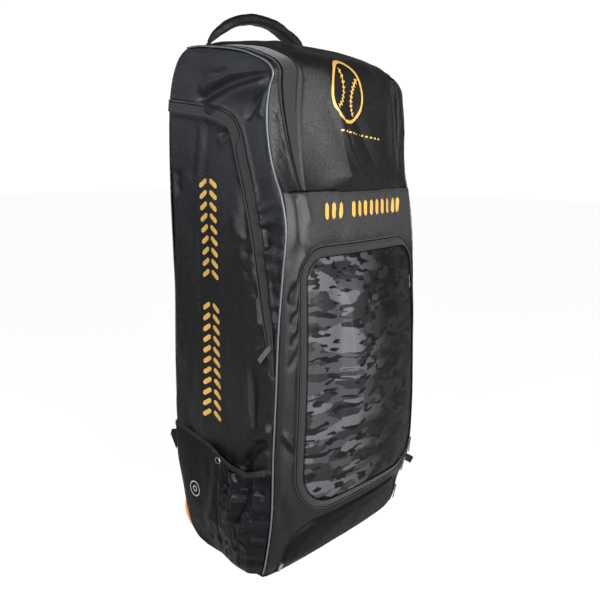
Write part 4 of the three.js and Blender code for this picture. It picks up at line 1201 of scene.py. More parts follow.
@dataclass(frozen=True)
class PlainFinish:
    """A finish with a grain: moulded plastic, metal, rubber, thread, webbing or print."""

    name: str
    shade: tuple[float, float, float]
    roughness: float
    metallic: float = 0.0
    grain_scale: float = 500.0
    grain_depth: float = 0.0001
    variation: float = 0.25
    specular: float = 0.5
    coat: float = 0.0
    rib: float = 0.0

    def make(self) -> bpy.types.Material:
        """Builds the material: two noises vary tone and roughness, and a rib follows the UV map."""
        shader = Shader(self.name)
        x, y, z = shader.coordinates("Object")
        place = shader.vector(x, y, z)
        grain = shader.noise(place, self.grain_scale, 2.0, 0.6)
        slow = shader.noise(place, 30.0, 3.0, 0.55)
        darker = tuple((1 - self.variation) * part for part in self.shade)
        tone = (grain * 0.5 + slow * 0.6 - 0.05).clamped()
        shader.set(Base_Color=shader.blend(tone, darker, self.shade), Metallic=self.metallic,
                   Roughness=self.roughness - 0.05 + slow * 0.1 + grain * 0.06,
                   Specular_IOR_Level=self.specular, Coat_Weight=self.coat)
        height = grain
        if self.rib:
            u, v, _ = shader.coordinates("UV")
            turn = 2 * math.pi / self.rib
            height = grain * 0.4 + (u * turn).sine() * ((v * turn).sine() * 0.3 + 0.4)
        shader.bump(height, self.grain_depth)
        return shader.material


class Finishes:
    """Every finish of the bag, made once."""

    def __init__(self) -> None:
        """Makes the materials."""
        # warm is the low tone of the black cloths: low down it stands for a warm painted shade.
        warm = (0.0013, 0.0008, 0.0004)
        # black_cloth's fade paints light: the sides turn lighter and bluer from about 0.6 m up.
        self.cloth = WovenCloth("black_cloth", (0.0040, 0.0040, 0.0056), warm, roughness=0.47, sheen=0.0,
                                specular=0.36, fade=(0.56, 0.80)).make()
        self.lid = WovenCloth("lid_cloth", (0.0011, 0.0014, 0.0012), warm, roughness=0.53, sheen=0.0,
                              specular=0.34).make()
        self.front = WovenCloth("front_cloth", (0.0240, 0.0226, 0.0222), (0.0030, 0.0026, 0.0024),
                                roughness=0.54, sheen=0.0, specular=0.28, fade=(0.575, 0.635)).make()
        self.pouch = WovenCloth("pouch_cloth", (0.0016, 0.0016, 0.0019), warm, roughness=0.5, sheen=0.01,
                                specular=0.13).make()
        self.boot = WovenCloth("boot_cloth", (0.0013, 0.0013, 0.0016), warm, roughness=0.55, sheen=0.0,
                               specular=0.13, thread=0.0014).make()
        self.mesh = WovenCloth("spacer_mesh", (0.008, 0.008, 0.009), warm, roughness=0.7, sheen=0.15,
                               specular=0.15, thread=0.0034, depth=0.0011).make()
        self.tape = ZipTape("zip_tape", (0.0180, 0.0175, 0.0156)).make()
        # The front camouflage gets shade=0.88, a painted shade over its right part.
        self.camo = CamouflageCloth("front_camouflage", (
            (0.0014, 0.0013, 0.0017), (0.0095, 0.0092, 0.0096),
            (0.0270, 0.0260, 0.0275), (0.0550, 0.0525, 0.0550)), 0.56, shade=0.88).make()
        self.gloss_camo = CamouflageCloth("side_camouflage", (
            (0.0013, 0.0013, 0.0016), (0.0025, 0.0025, 0.0030),
            (0.0045, 0.0045, 0.0052), (0.0080, 0.0081, 0.0092)), 0.36, wide=0.045, low=0.026).make()
        self.piping = PlainFinish("reflective_piping", (0.075, 0.077, 0.083), 0.38, grain_scale=900.0,
                                  variation=0.35, rib=0.0009).make()
        self.webbing = PlainFinish("black_webbing", (0.0065, 0.0065, 0.0070), 0.62, grain_depth=0.00035,
                                   specular=0.16, rib=0.0021).make()
        self.binding = PlainFinish("elastic_binding", (0.014, 0.014, 0.0145), 0.6, grain_depth=0.0003,
                                   specular=0.16, rib=0.0013).make()
        self.plastic = PlainFinish("black_plastic", (0.0060, 0.0060, 0.0064), 0.46, grain_scale=900.0,
                                   grain_depth=0.00008, specular=0.25).make()
        self.metal = PlainFinish("zip_metal", (0.62, 0.62, 0.64), 0.3, metallic=1.0, grain_scale=200.0,
                                 grain_depth=0.00003).make()
        self.rubber = PlainFinish("amber_tyre", (0.86, 0.27, 0.015), 0.42, grain_scale=300.0,
                                  grain_depth=0.00006, variation=0.15).make()
        self.coil = PlainFinish("black_coil", (0.0005, 0.0005, 0.0005), 0.8, specular=0.05).make()
        self.steel = PlainFinish("axle_steel", (0.55, 0.56, 0.58), 0.26, metallic=1.0).make()
        self.thread = PlainFinish("black_thread", (0.009, 0.009, 0.0095), 0.55, grain_depth=0.00005,
                                  specular=0.15).make()
        self.gold = PlainFinish("gold_print", (0.44, 0.25, 0.055), 0.42, grain_scale=260.0, variation=0.2,
                                grain_depth=0.00005).make()
        self.white = PlainFinish("white_print", (0.30, 0.30, 0.30), 0.5).make()


@dataclass
class Assembly:
    """A group of pieces, which it makes and hands over: their material, body and replaced nodes."""

    finishes: Finishes
    triangles: int = field(default=0, init=False)

    def hand_over(self, piece: bpy.types.Object, material: bpy.types.Material, slot: str,
                  replaces: Sequence[str] = (), body: str = BODY) -> bpy.types.Object:
        """Dresses a piece and puts it on its body.

        Args:
            piece: the piece.
            material: what it is made of.
            slot: the record's material slot; not used.
            replaces: nodes that it stands for.
            body: the body it rides on.

        Returns:
            The piece.
        """
        piece.data.materials.clear()
        piece.data.materials.append(material)
        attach(piece, body)
        if replaces:
            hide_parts(*replaces)
        faces = 2 * len(piece.data.polygons)
        self.triangles += faces
        log.info("%s: %d triangles", piece.name, faces)
        return piece

    def sheet(self, name: str, grid: Array, outward: Sequence[float], material: bpy.types.Material, slot: str,
              replaces: Sequence[str] = ()) -> bpy.types.Object:
        """Makes a piece from an open grid that faces one way, and hands it over."""
        piece = MeshParts().add_grid(grid, outward).finish(name)
        return self.hand_over(piece, material, slot, replaces)

    def cord(self, name: str, grid: Array, material: bpy.types.Material, slot: str,
             replaces: Sequence[str] = (), body: str = BODY) -> bpy.types.Object:
        """Makes a piece from a grid whose columns run all round it, and hands it over."""
        piece = MeshParts().add_grid(grid, None, round_columns=True).finish(name)
        return self.hand_over(piece, material, slot, replaces, body)

    def seam(self, name: str, stitches: MeshParts) -> None:
        """Hands over a row of stitches."""
        self.hand_over(stitches.finish(name), self.finishes.thread, "black_cloth")


# Bat pocket zip: share of the depth, share of the height, share of the zip's width.
BAT_ZIP = np.array([
    (0.488, 0.898, 0.8), (0.238, 0.889, 0.8), (0.071, 0.882, 0.8), (-0.057, 0.873, 0.82),
    (-0.135, 0.862, 0.86), (-0.182, 0.846, 0.92), (-0.206, 0.829, 1), (-0.257, 0.785, 1),
    (-0.31, 0.742, 1), (-0.396, 0.655, 0.98), (-0.454, 0.567, 0.9), (-0.5, 0.5, 0.8),
    (-0.528, 0.45, 0.55), (-0.544, 0.412, 0.3),
])
BAT_ZIP_WIDTH = 26.0
COIL_PITCH = 2.4


@dataclass
class SideCloth:
    """The relief of a side: pleats below the brow, ripples beside the bat zip and the hem along it."""

    pinch: tuple[Fold, ...] = (
        Fold(((-131, 897), (-73, 898), (-24, 894), (20, 890)), -2.4, 7, 8, 0.2),
        Fold(((-127, 891), (-84, 893), (-36, 890), (14, 877), (52, 866)), 3.4, 10, 9, 0.12),
        Fold(((-132, 886), (-84, 885), (-24, 878), (28, 860), (60, 846)), -4.6, 9, 10, 0.12),
        Fold(((-128, 880), (-61, 864), (2, 846), (40, 826)), 3.6, 12, 16, 0.15),
        Fold(((-134, 882), (-112, 863), (-91, 843), (-68, 812)), -3.4, 6, 8, 0.12),
        Fold(((-133, 877), (-116, 852), (-102, 815)), 2.6, 7, 8, 0.15),
        Fold(((-137, 880), (-126, 856), (-122, 815)), -3.2, 6, 5, 0.12),
        Fold(((-140, 870), (-134, 846), (-131, 800)), 1.6, 5, 6, 0.2),
    )
    tucks: tuple[Fold, ...] = (
        Fold(((-46, 803), (-27, 798), (-4, 787)), -3.4, 5, 5, 0.3),
        Fold(((-40, 812), (-17, 808), (6, 800)), 1.8, 8, 5, 0.3),
        Fold(((-40, 795), (-18, 789), (4, 776)), 1.6, 5, 9, 0.3),
        Fold(((53, 820), (63, 766), (75, 705)), -1.3, 11, 9, 0.2),
        Fold(((26, 818), (30, 766), (48, 700)), -1.2, 8, 12, 0.2),
        Fold(((40, 816), (46, 764), (60, 704)), 1.0, 8, 8, 0.2),
        Fold(((-60, 722), (-72, 666), (-79, 624), (-69, 580)), -3.4, 9, 7, 0.25),
        Fold(((-44, 668), (-54, 631), (-78, 612), (-59, 565)), 2.6, 8, 10, 0.25),
        Fold(((-80, 690), (-92, 640), (-97, 600)), 1.7, 6, 8, 0.25),
        Fold(((112, 735), (118, 705), (112, 680)), -3.0, 12, 9, 0.3),
        Fold(((-72, 596), (-95, 588)), -2.0, 5, 6, 0.4),
        Fold(((-68, 566), (-97, 555)), -2.2, 5, 7, 0.4),
        Fold(((-96, 400), (-99, 317), (-104, 262)), -2.2, 7, 9, 0.3),
        Fold(((-84, 410), (-86, 330), (-92, 262)), 1.8, 10, 7, 0.3),
        Fold(((-121, 345), (-106, 285)), 1.6, 7, 6, 0.3),
        Fold(((-146, 298), (-129, 277), (-98, 258)), 5.0, 12, 6, 0.22),
        Fold(((-140, 268), (-108, 250), (-88, 226), (-70, 198)), -6.0, 8, 10, 0.2, 0.6),
        Fold(((-140, 255), (-115, 232), (-98, 205)), 3.0, 9, 10, 0.25, 0.5),
        Fold(((-20, 330), (-34, 270), (-48, 215)), -1.6, 12, 12, 0.3),
    )

    @property
    def zip_points(self) -> tuple[Point2, ...]:
        """The bat zip's line."""
        return tuple((row[0] * FORM.depth, row[1] * FORM.height) for row in BAT_ZIP)

    def zip_distance(self, y: Array, z: Array) -> tuple[Array, Array, Array]:
        """Signed distance from the zip's middle, place along it, and the tape's half width there.

        Args:
            y: depth of each point.
            z: height of each point.

        Returns:
            The distance, the place from 0 to 1 and the half width.
        """
        signed, along = Track(self.zip_points).measure(y, z)
        points = np.array(self.zip_points)
        reach = np.concatenate([[0], np.cumsum(np.hypot(*np.diff(points, axis=0).T))])
        half = np.interp(along, reach / reach[-1], BAT_ZIP[:, 2]) * BAT_ZIP_WIDTH / 2
        return signed, along, half

    def heights(self, y: Array, z: Array, seed: int = 3) -> Array:
        """Height of the side's cloth above its plain surface, in millimetres.

        Args:
            y: depth of each point.
            z: height of each point.
            seed: which small ripples.

        Returns:
            Heights.
        """
        total = 1.9 * folded(self.pinch, y, z) + 1.6 * folded(self.tucks, y, z)
        signed, _, half = self.zip_distance(y, z)
        beyond = np.abs(signed) - half
        lower = signed < 0
        hem = np.where(lower, 0.9, 1.6) * bell(beyond, 3.0, 3.2) * (beyond > 0)
        bed = -1.6 * (1 - smoothstep(beyond, -1.5, 0.6))
        wave = cloud(z / 13 + 0.3 * y / 13, y / 60, seed)
        slope = smoothstep(-y, 40, 120) * smoothstep(z, 330, 470) * (1 - smoothstep(z, 640, 760))
        puckers = slope * np.exp(-np.maximum(beyond, 0) / 26) * wave * 9.0 * smoothstep(beyond, 0, 6)
        slow = cloud(y / 95 + 5, z / 130, seed + 4, 2) * 3.2
        hang = cloud(y / 26, z / 170 + 2, seed + 9, 2) * 1.8 * smoothstep(700 - z, 0, 160)
        total = total + hem + puckers + (slow + hang) * smoothstep(beyond, -4, 12) + bed
        return total


@dataclass
class SidePanels(Assembly):
    """The two cloth sides, rounded where they turn into the back."""

    cloth: SideCloth
    rows_spacing: float = 3.0
    columns: int = 92
    edge_round: float = 9.0

    def surface(self, y: Array, z: Array, side: int, proud: Array | float = 0.0) -> Array:
        """Points of a side at a depth and height, with its relief.

        Args:
            y: depth of each point.
            z: height of each point.
            side: -1 for the left side, 1 for the right one.
            proud: further distance outwards, in millimetres.

        Returns:
            Points in millimetres.
        """
        seed = 3 if side < 0 else 31
        x = FORM.half_width(y, z) + self.cloth.heights(y, z, seed) + proud
        return np.stack([side * x, y, z], -1)

    def build(self) -> None:
        """Makes both sides."""
        for side in Side:
            stations = FORM.stations_between(0.0, FORM.last_front, self.rows_spacing)
            front = FORM.inset_seam(stations, side.value, 2.6)
            rear = FORM.seam(FORM.back_station(stations), -1)
            share = np.linspace(0, 1, self.columns)[None, :]
            y = mix(front[:, 1:2], rear[:, 1:2], share)
            z = mix(front[:, 2:3], rear[:, 2:3], share)
            points = self.surface(y, z, side.value)
            from_front = np.hypot(y - front[:, 1:2], z - front[:, 2:3])
            from_rear = np.hypot(y - rear[:, 1:2], z - rear[:, 2:3])
            calm = smoothstep(from_front, 0, 9)
            plain = FORM.half_width(y, z)
            x = mix(plain, side.value * points[..., 0], calm)
            x = x - 3.2 * np.exp(-from_front / 4.5)
            turn = np.clip(1 - from_rear / self.edge_round, 0, 1)
            x = x - self.edge_round * (1 - np.sqrt(np.maximum(1 - turn ** 2, 0)))
            points = np.stack([side.value * x, y, z], -1)
            grid = rimmed(points, FORM.wall, side.outward, "nsw")
            self.sheet(f"side_cloth_{side.word}", grid, side.outward, self.finishes.cloth, "black_cloth",
                       [f"side_panel_{side.word}"])


@dataclass
class BatZips(Assembly):
    """The dogleg zip of the bat pocket on each side: two tape halves that meet at a coil."""

    cloth: SideCloth
    panels: SidePanels
    steps: int = 260
    crossing: tuple[float, ...] = (200.0, 224.0)
    coil_place: float = 0.66
    seam_gap: float = 2.6

    @staticmethod
    def aside(path: Array) -> Array:
        """Direction to the right of a path in the side's plane."""
        way = unit(np.gradient(path, axis=0))
        return np.stack([way[:, 1], -way[:, 0]], -1)

    def middle(self) -> tuple[Array, Array, Array, Array]:
        """The tape's middle line, the distance along it, its half width and where its halves cross over."""
        points = [(*point, row[2] * BAT_ZIP_WIDTH) for point, row in zip(self.cloth.zip_points, BAT_ZIP)]
        centre = smooth_path(points, self.steps)
        path = centre[:, :2]
        along = np.linspace(0, path_length(path), len(path))[:, None]
        return path, along, 0.5 * centre[:, 2:], smoothstep(along, *self.crossing)

    def ribbon(self, side: int) -> Array:
        """Grid of the tape: a groove at the coil, a raised outer edge and slow waves.

        Args:
            side: -1 for the left side, 1 for the right one.

        Returns:
            The grid.
        """
        path, along, half, turn = self.middle()
        distance = np.linspace(-0.5, 0.5, 30)[None, :] * (2 * half)
        place = path[:, None] + self.aside(path)[:, None] * distance[..., None]
        near, far = distance - self.coil_place * half * mix(1, -1, turn), np.abs(distance) / half
        groove = -2.0 * bell(near, 0, 0.9) * (0.25 + 0.75 * np.abs(2 * turn - 1)) + 0.9 * bell(far, 0.9, 0.08)
        coil = 0.16 * np.sin(along * 2 * np.pi / COIL_PITCH) * bell(near, 0, 2.6)
        wave = 0.35 * cloud(along / 26, distance / 30, 5)
        y, z = place[..., 0], place[..., 1]
        x = FORM.half_width(y, z) + (1.5 + groove + coil + wave)
        return np.stack([side * x, y, z], -1)

    def coil(self, side: int) -> Array:
        """Middle line of the black coil where the two tape halves meet.

        Args:
            side: -1 for the left side, 1 for the right one.

        Returns:
            The line's points.
        """
        path, _, half, turn = self.middle()
        place = path + self.aside(path) * self.coil_place * half * mix(1, -1, turn)
        x = FORM.half_width(place[:, 0], place[:, 1]) + 0.7
        return np.stack([side * x, place[:, 0], place[:, 1]], -1)

    def build(self) -> None:
        """Makes both zips, their coils and the stitches beside them."""
        for side in Side:
            line = self.coil(side.value)
            coil = tube(line, facing(line, side.value, 0, 0), flat_oval(1.5, 1.7, 2.0, 8))
            self.cord(f"bat_zip_coil_{side.word}", capped(coil), self.finishes.coil, "zip_tape")
            grid = self.ribbon(side.value)
            self.sheet(f"bat_zip_tape_{side.word}", rimmed(grid, 2.4, side.outward), side.outward,
                       self.finishes.tape, "zip_tape", [f"bat_zip_band_{side.word}"])
            seams = MeshParts()
            for column, beyond in ((0, -self.seam_gap), (-1, self.seam_gap)):
                edge = grid[:, column, 1:]
                line = edge + self.aside(edge) * beyond
                path = self.panels.surface(line[:, 0], line[:, 1], side.value, 0.15)[4:-10]
                stitched(seams, path, facing(path, side.value, 0, 0))
            self.seam(f"bat_zip_stitches_{side.word}", seams)


@dataclass
class SeamPiping(Assembly):
    """Reflective piped cord along each front and top seam."""

    radius: float = 1.7

    def build(self) -> None:
        """Makes both cords."""
        for side in Side:
            stations = FORM.stations_between(0.15, FORM.last_front, 3.4)
            path = FORM.seam(stations, side.value)
            ripple = cloud(stations * 9, 0.5, 11 + side.value) * 0.35
            path = path + np.stack([side.value * ripple * 0.6, -ripple, 0 * ripple], -1)
            section = flat_oval(2 * self.radius, 2 * self.radius, 2.0, 12)
            grid = tube(path, facing(path, side.value, 0, 0), section)
            self.cord(f"piping_cord_{side.word}", capped(grid), self.finishes.piping, "reflective_piping",
                      [f"piping_{side.word}"])


@dataclass
class Lid(Assembly):
    """The zipped lid over the upper front and the top, its zip tapes and the strips beside them."""

    margin_at_crease: float = 55.5
    margin_at_brow: float = 46.5
    right_brow_inset: float = 26.0
    band_at_crease: float = 9.0
    band_at_brow: float = 38.0
    coil_place: float = 0.8
    proud_on_top: float = 4.0
    outward: tuple[float, ...] = (0.0, -1.0, 1.0)
    front_folds: tuple[Fold, ...] = (
        Fold(((-83, 865), (-53, 828), (-32, 778), (-1, 743), (24, 712)), -2.2, 5, 4, 0.2),
        Fold(((-90, 860), (-62, 826), (-42, 776), (-12, 741), (12, 712)), 2.4, 16, 8, 0.2),
        Fold(((-70, 850), (-38, 806), (-14, 764)), 1.4, 8, 14, 0.3),
        Fold(((118, 905), (112, 860), (120, 800), (140, 730)), -2.6, 9, 12, 0.2),
        Fold(((96, 900), (92, 850), (98, 790), (120, 720)), 2.4, 16, 12, 0.2),
        Fold(((40, 724), (46, 706)), 1.4, 7, 7, 0.35, 1.0),
        Fold(((90, 726), (98, 706)), -1.4, 7, 7, 0.35, 1.0),
        Fold(((-120, 930), (-84, 985), (-60, 1050)), 2.2, 12, 18, 0.3),
        Fold(((-100, 925), (-50, 965), (0, 985)), -1.6, 10, 14, 0.3),
    )
    half_at_ridge: float = 152.0
    ridge_slope: float = 0.27
    ridge: Track = Track(((-150, 905), (-132, 878), (-102, 836), (-66, 770), (-30, 712), (-14, 684)))

    def edge(self, station: Array, side: int) -> Array:
        """The lid's edge, in millimetres from the middle.

        Args:
            station: places along the outline, in rows.
            side: -1 for the left side, 1 for the right one.

        Returns:
            Distances in millimetres.
        """
        at_brow = self.margin_at_brow + (self.right_brow_inset if side > 0 else 0.0)
        share = smoothstep(station, FORM.crease, FORM.place("brow"))
        return FORM.half - mix(self.margin_at_crease, at_brow, share)

    def band(self, station: Array) -> Array:
        """Width of the zip tape."""
        share = smoothstep(station, FORM.crease, FORM.place("brow"))
        return mix(self.band_at_crease, self.band_at_brow, share)

    def outer(self, station: Array, side: int) -> Array:
        """Outer edge of the zip tape, as a share of the half width."""
        return np.minimum((self.edge(station, side) + self.band(station)) / FORM.half, 0.955)

    def proud(self, station: Array) -> Array:
        """How far the lid stands above its tapes."""
        return self.proud_on_top * smoothstep(station, FORM.place("lid low"), FORM.place("top middle"))

    def relief(self, x: Array, travel: Array) -> Array:
        """Height of the lid's cloth above its plain surface.

        Left of a slanting ridge the cloth falls away evenly to the lid's left edge, so that it catches
        light from that side.

        Args:
            x: place across.
            travel: distance up the front and over the top.

        Returns:
            Heights in millimetres.
        """
        signed, _ = self.ridge.measure(x, travel)
        reach = np.maximum(x + self.half_at_ridge, 0.0)
        span = np.maximum(reach - np.clip(signed, -200, 0), 20)
        crest = self.ridge_slope * np.minimum(span, 110)
        tent = crest * np.where(signed < 0, np.clip(reach / span, 0, 1), bell(signed, 0, 55))
        on_front = 1 - smoothstep(travel, 860, 945)
        tent = tent * on_front * smoothstep(travel, 672, 722)
        folds = folded(self.front_folds, x, travel)
        slow = cloud(x / 80, travel / 95, 21, 2) * 1.5
        fine = cloud(x / 26, travel / 44, 8) * 0.35
        room = np.minimum(x + self.half_at_ridge, self.half_at_ridge - x)
        return tent + (1.4 * folds + slow + fine) * smoothstep(room, 0, 24)

    def spread(self, stations: Array, low: Array, high: Array, columns: int) -> tuple[Array, Array]:
        """Grid of places between two limits across.

        Args:
            stations: places along the outline.
            low: limit nearest the left, as a share of the half width.
            high: limit nearest the right.
            columns: number of columns.

        Returns:
            Places along and across, as grids.
        """
        turn = np.linspace(0, 1, columns)[None, :]
        start, end = np.arcsin(np.clip(low, -1, 1)), np.arcsin(np.clip(high, -1, 1))
        across = np.sin(mix(start[:, None], end[:, None], turn))
        return np.broadcast_to(stations[:, None], across.shape), across

    def cloth_grid(self, stations: Array) -> Array:
        """Grid of the lid's cloth with its relief and its turned edges.

        Args:
            stations: places along the outline, in rows.

        Returns:
            The grid.
        """
        left = self.edge(stations, -1) / FORM.half - 0.001
        right = self.edge(stations, 1) / FORM.half - 0.001
        along, across = self.spread(stations, -left, right, 118)
        plain = FORM.wrap(along, across, self.proud(along))
        travel = FORM.travel(along)
        inner = np.minimum(left[:, None] + across, right[:, None] - across) * FORM.half
        relief = self.relief(plain[..., 0], travel) * smoothstep(inner, 0, 7)
        roll = 0.6 * bell(inner, 3.5, 3.0) - 1.5 * np.exp(-inner / 1.4)
        above = travel - FORM.travel(np.array(FORM.crease))
        tuck = -3.0 * np.exp(-np.maximum(above, 0) / 3.0)
        return lifted(plain, relief + roll + tuck, self.outward)

    def build(self) -> None:
        """Makes the lid, its tapes, its strips and their stitches."""
        stations = FORM.stations_between(FORM.crease - 0.12, FORM.last_front, 2.9)
        grid = self.cloth_grid(stations)
        outward = self.outward
        self.sheet("lid_cloth", rimmed(grid, 3.2, outward), outward, self.finishes.lid, "black_cloth",
                   ["lid_panel"])
        seams = MeshParts()
        normal = normals_of(grid, outward)
        for column in (3, -4):
            stitched(seams, grid[6:-2, column], normal[6:-2, column])
        self.seam("lid_stitches", seams)
        for side in Side:
            self.build_tape(side, stations)
            self.build_strip(side, stations)

    def limits(self, side: Side, inner: Array, outer: Array) -> tuple[Array, Array]:
        """Two limits in order from left to right."""
        return (-outer, -inner) if side is Side.LEFT else (inner, outer)

    def build_tape(self, side: Side, stations: Array) -> None:
        """Makes one zip tape, with the coil's groove along its middle.

        Args:
            side: which side.
            stations: places along the outline, in rows.
        """
        inner = self.edge(stations, side.value) / FORM.half - 0.004
        outer = self.outer(stations, side.value) + 0.004
        along, across = self.spread(stations, *self.limits(side, inner, outer), 30)
        plain = FORM.wrap(along, across)
        width = (outer - inner)[:, None] * FORM.half
        place = (np.abs(across) - inner[:, None]) * FORM.half
        beside = place - width * self.coil_place
        groove = -2.2 * bell(beside, 0, 0.9)
        beads = 0.6 * bell(np.abs(beside), 2.6, 1.3)
        travel = FORM.travel(along)
        coil = 0.2 * np.sin(travel * 2 * np.pi / COIL_PITCH) * bell(beside, 0, 3.4)
        wave = 0.5 * cloud(travel / 40, place / 40 + side.value, 13)
        relief = -0.5 + (groove + beads + coil) * smoothstep(width, 12, 22) + wave
        grid = lifted(plain, relief, self.outward)
        outward = (side.value * 0.2, -1.0, 1.0)
        self.sheet(f"lid_zip_tape_{side.word}", rimmed(grid, 2.0, outward), outward, self.finishes.tape,
                   "zip_tape", [f"lid_zip_band_{side.word}"])
        line = FORM.wrap(stations, side.value * (inner + self.coil_place * (outer - inner)), 0.2)
        coil = tube(line, facing(line, side.value, 0, 0), flat_oval(1.7, 1.5, 2.0, 8))
        self.cord(f"lid_zip_coil_{side.word}", capped(coil), self.finishes.coil, "zip_tape")

    def build_strip(self, side: Side, stations: Array) -> None:
        """Makes one strip of cloth between the zip tape and the piping.

        Args:
            side: which side.
            stations: places along the outline, in rows.
        """
        outer = FORM.wrap_reach(stations, side.value, 2.5)
        start = self.outer(stations, side.value)
        along, across = self.spread(stations, *self.limits(side, start + 0.002, outer), 26)
        plain = FORM.wrap(along, across)
        travel = FORM.travel(along)
        x = plain[..., 0]
        inner = (np.abs(across) - start[:, None]) * FORM.half
        room = (outer[:, None] - np.abs(across)) * FORM.half
        hem = 1.4 * bell(inner, 3.0, 2.8) - 1.0 * np.exp(-inner / 1.2)
        fold = Fold(((-176, 838), (-168, 815), (-160, 792)), -2.2, 5, 6, 0.3)
        wave = cloud(travel / 30, x / 22, 40 + side.value, 2) * 1.2
        relief = hem + (fold.heights(-np.abs(x), travel) + wave) * smoothstep(np.minimum(inner, room), 0, 7)
        grid = lifted(plain, relief, self.outward)
        outward = (side.value * 0.2, -1.0, 1.0)
        self.sheet(f"lid_strip_{side.word}", rimmed(grid, 2.4, outward), outward, self.finishes.lid,
                   "black_cloth", [f"upper_front_strip_{side.word}"])
        seams = MeshParts()
        column = -3 if side is Side.LEFT else 2
        normal = normals_of(grid, outward)
        stitched(seams, grid[4:-2, column], normal[4:-2, column])
        self.seam(f"lid_strip_stitches_{side.word}", seams)


@dataclass(frozen=True)
class RoundedWindow:
    """An upright rounded outline on the front, with its own radius at the top and the bottom."""

    width: float
    bottom: float
    top: float
    bottom_radius: float
    top_radius: float
    shift: float = 0.0

    def distance(self, x: Array, z: Array) -> Array:
        """Signed distance from the outline, negative inside.

        Args:
            x: place across.
            z: height.

        Returns:
            Distances in millimetres.
        """
        middle = (self.bottom + self.top) / 2
        radius = np.where(z > middle, self.top_radius, self.bottom_radius)
        a = np.abs(x - self.shift) - self.width / 2 + radius
        b = np.abs(z - middle) - (self.top - self.bottom) / 2 + radius
        outside = np.hypot(np.maximum(a, 0), np.maximum(b, 0))
        return outside + np.minimum(np.maximum(a, b), 0) - radius

    def loop(self, inset: float, inset_sides: float, spacing: float = 3.0) -> Array:
        """Points round the outline, moved inwards.

        Args:
            inset: how far in at the top and bottom.
            inset_sides: how far in at the sides.
            spacing: distance between points.

        Returns:
            Points (x, z) round the loop.
        """
        half = self.width / 2 - inset_sides
        corners = []
        for (sx, sz), radius, start in (
            ((1, -1), self.bottom_radius, -90), ((1, 1), self.top_radius, 0),
            ((-1, 1), self.top_radius, 90), ((-1, -1), self.bottom_radius, 180),
        ):
            r = radius - inset
            angle = np.radians(np.linspace(start, start + 90, 30))
            high = self.top - inset if sz > 0 else self.bottom + inset
            corners.append(np.stack([sx * (half - r) + r * np.cos(angle) + self.shift,
                                     high - sz * r + r * np.sin(angle)], -1))
        loop = np.concatenate(corners)
        length = path_length(np.concatenate([loop, loop[:1]]))
        return resampled(loop, int(length / spacing), closed=True)


POCKET = RoundedWindow(354, 120, 609, 86, 58, 4)
POCKET_BAND = (21.0, 15.0)
BOOT = RoundedWindow(352, -124, 104, 31, 62)
BOOT_BAND = 8.0


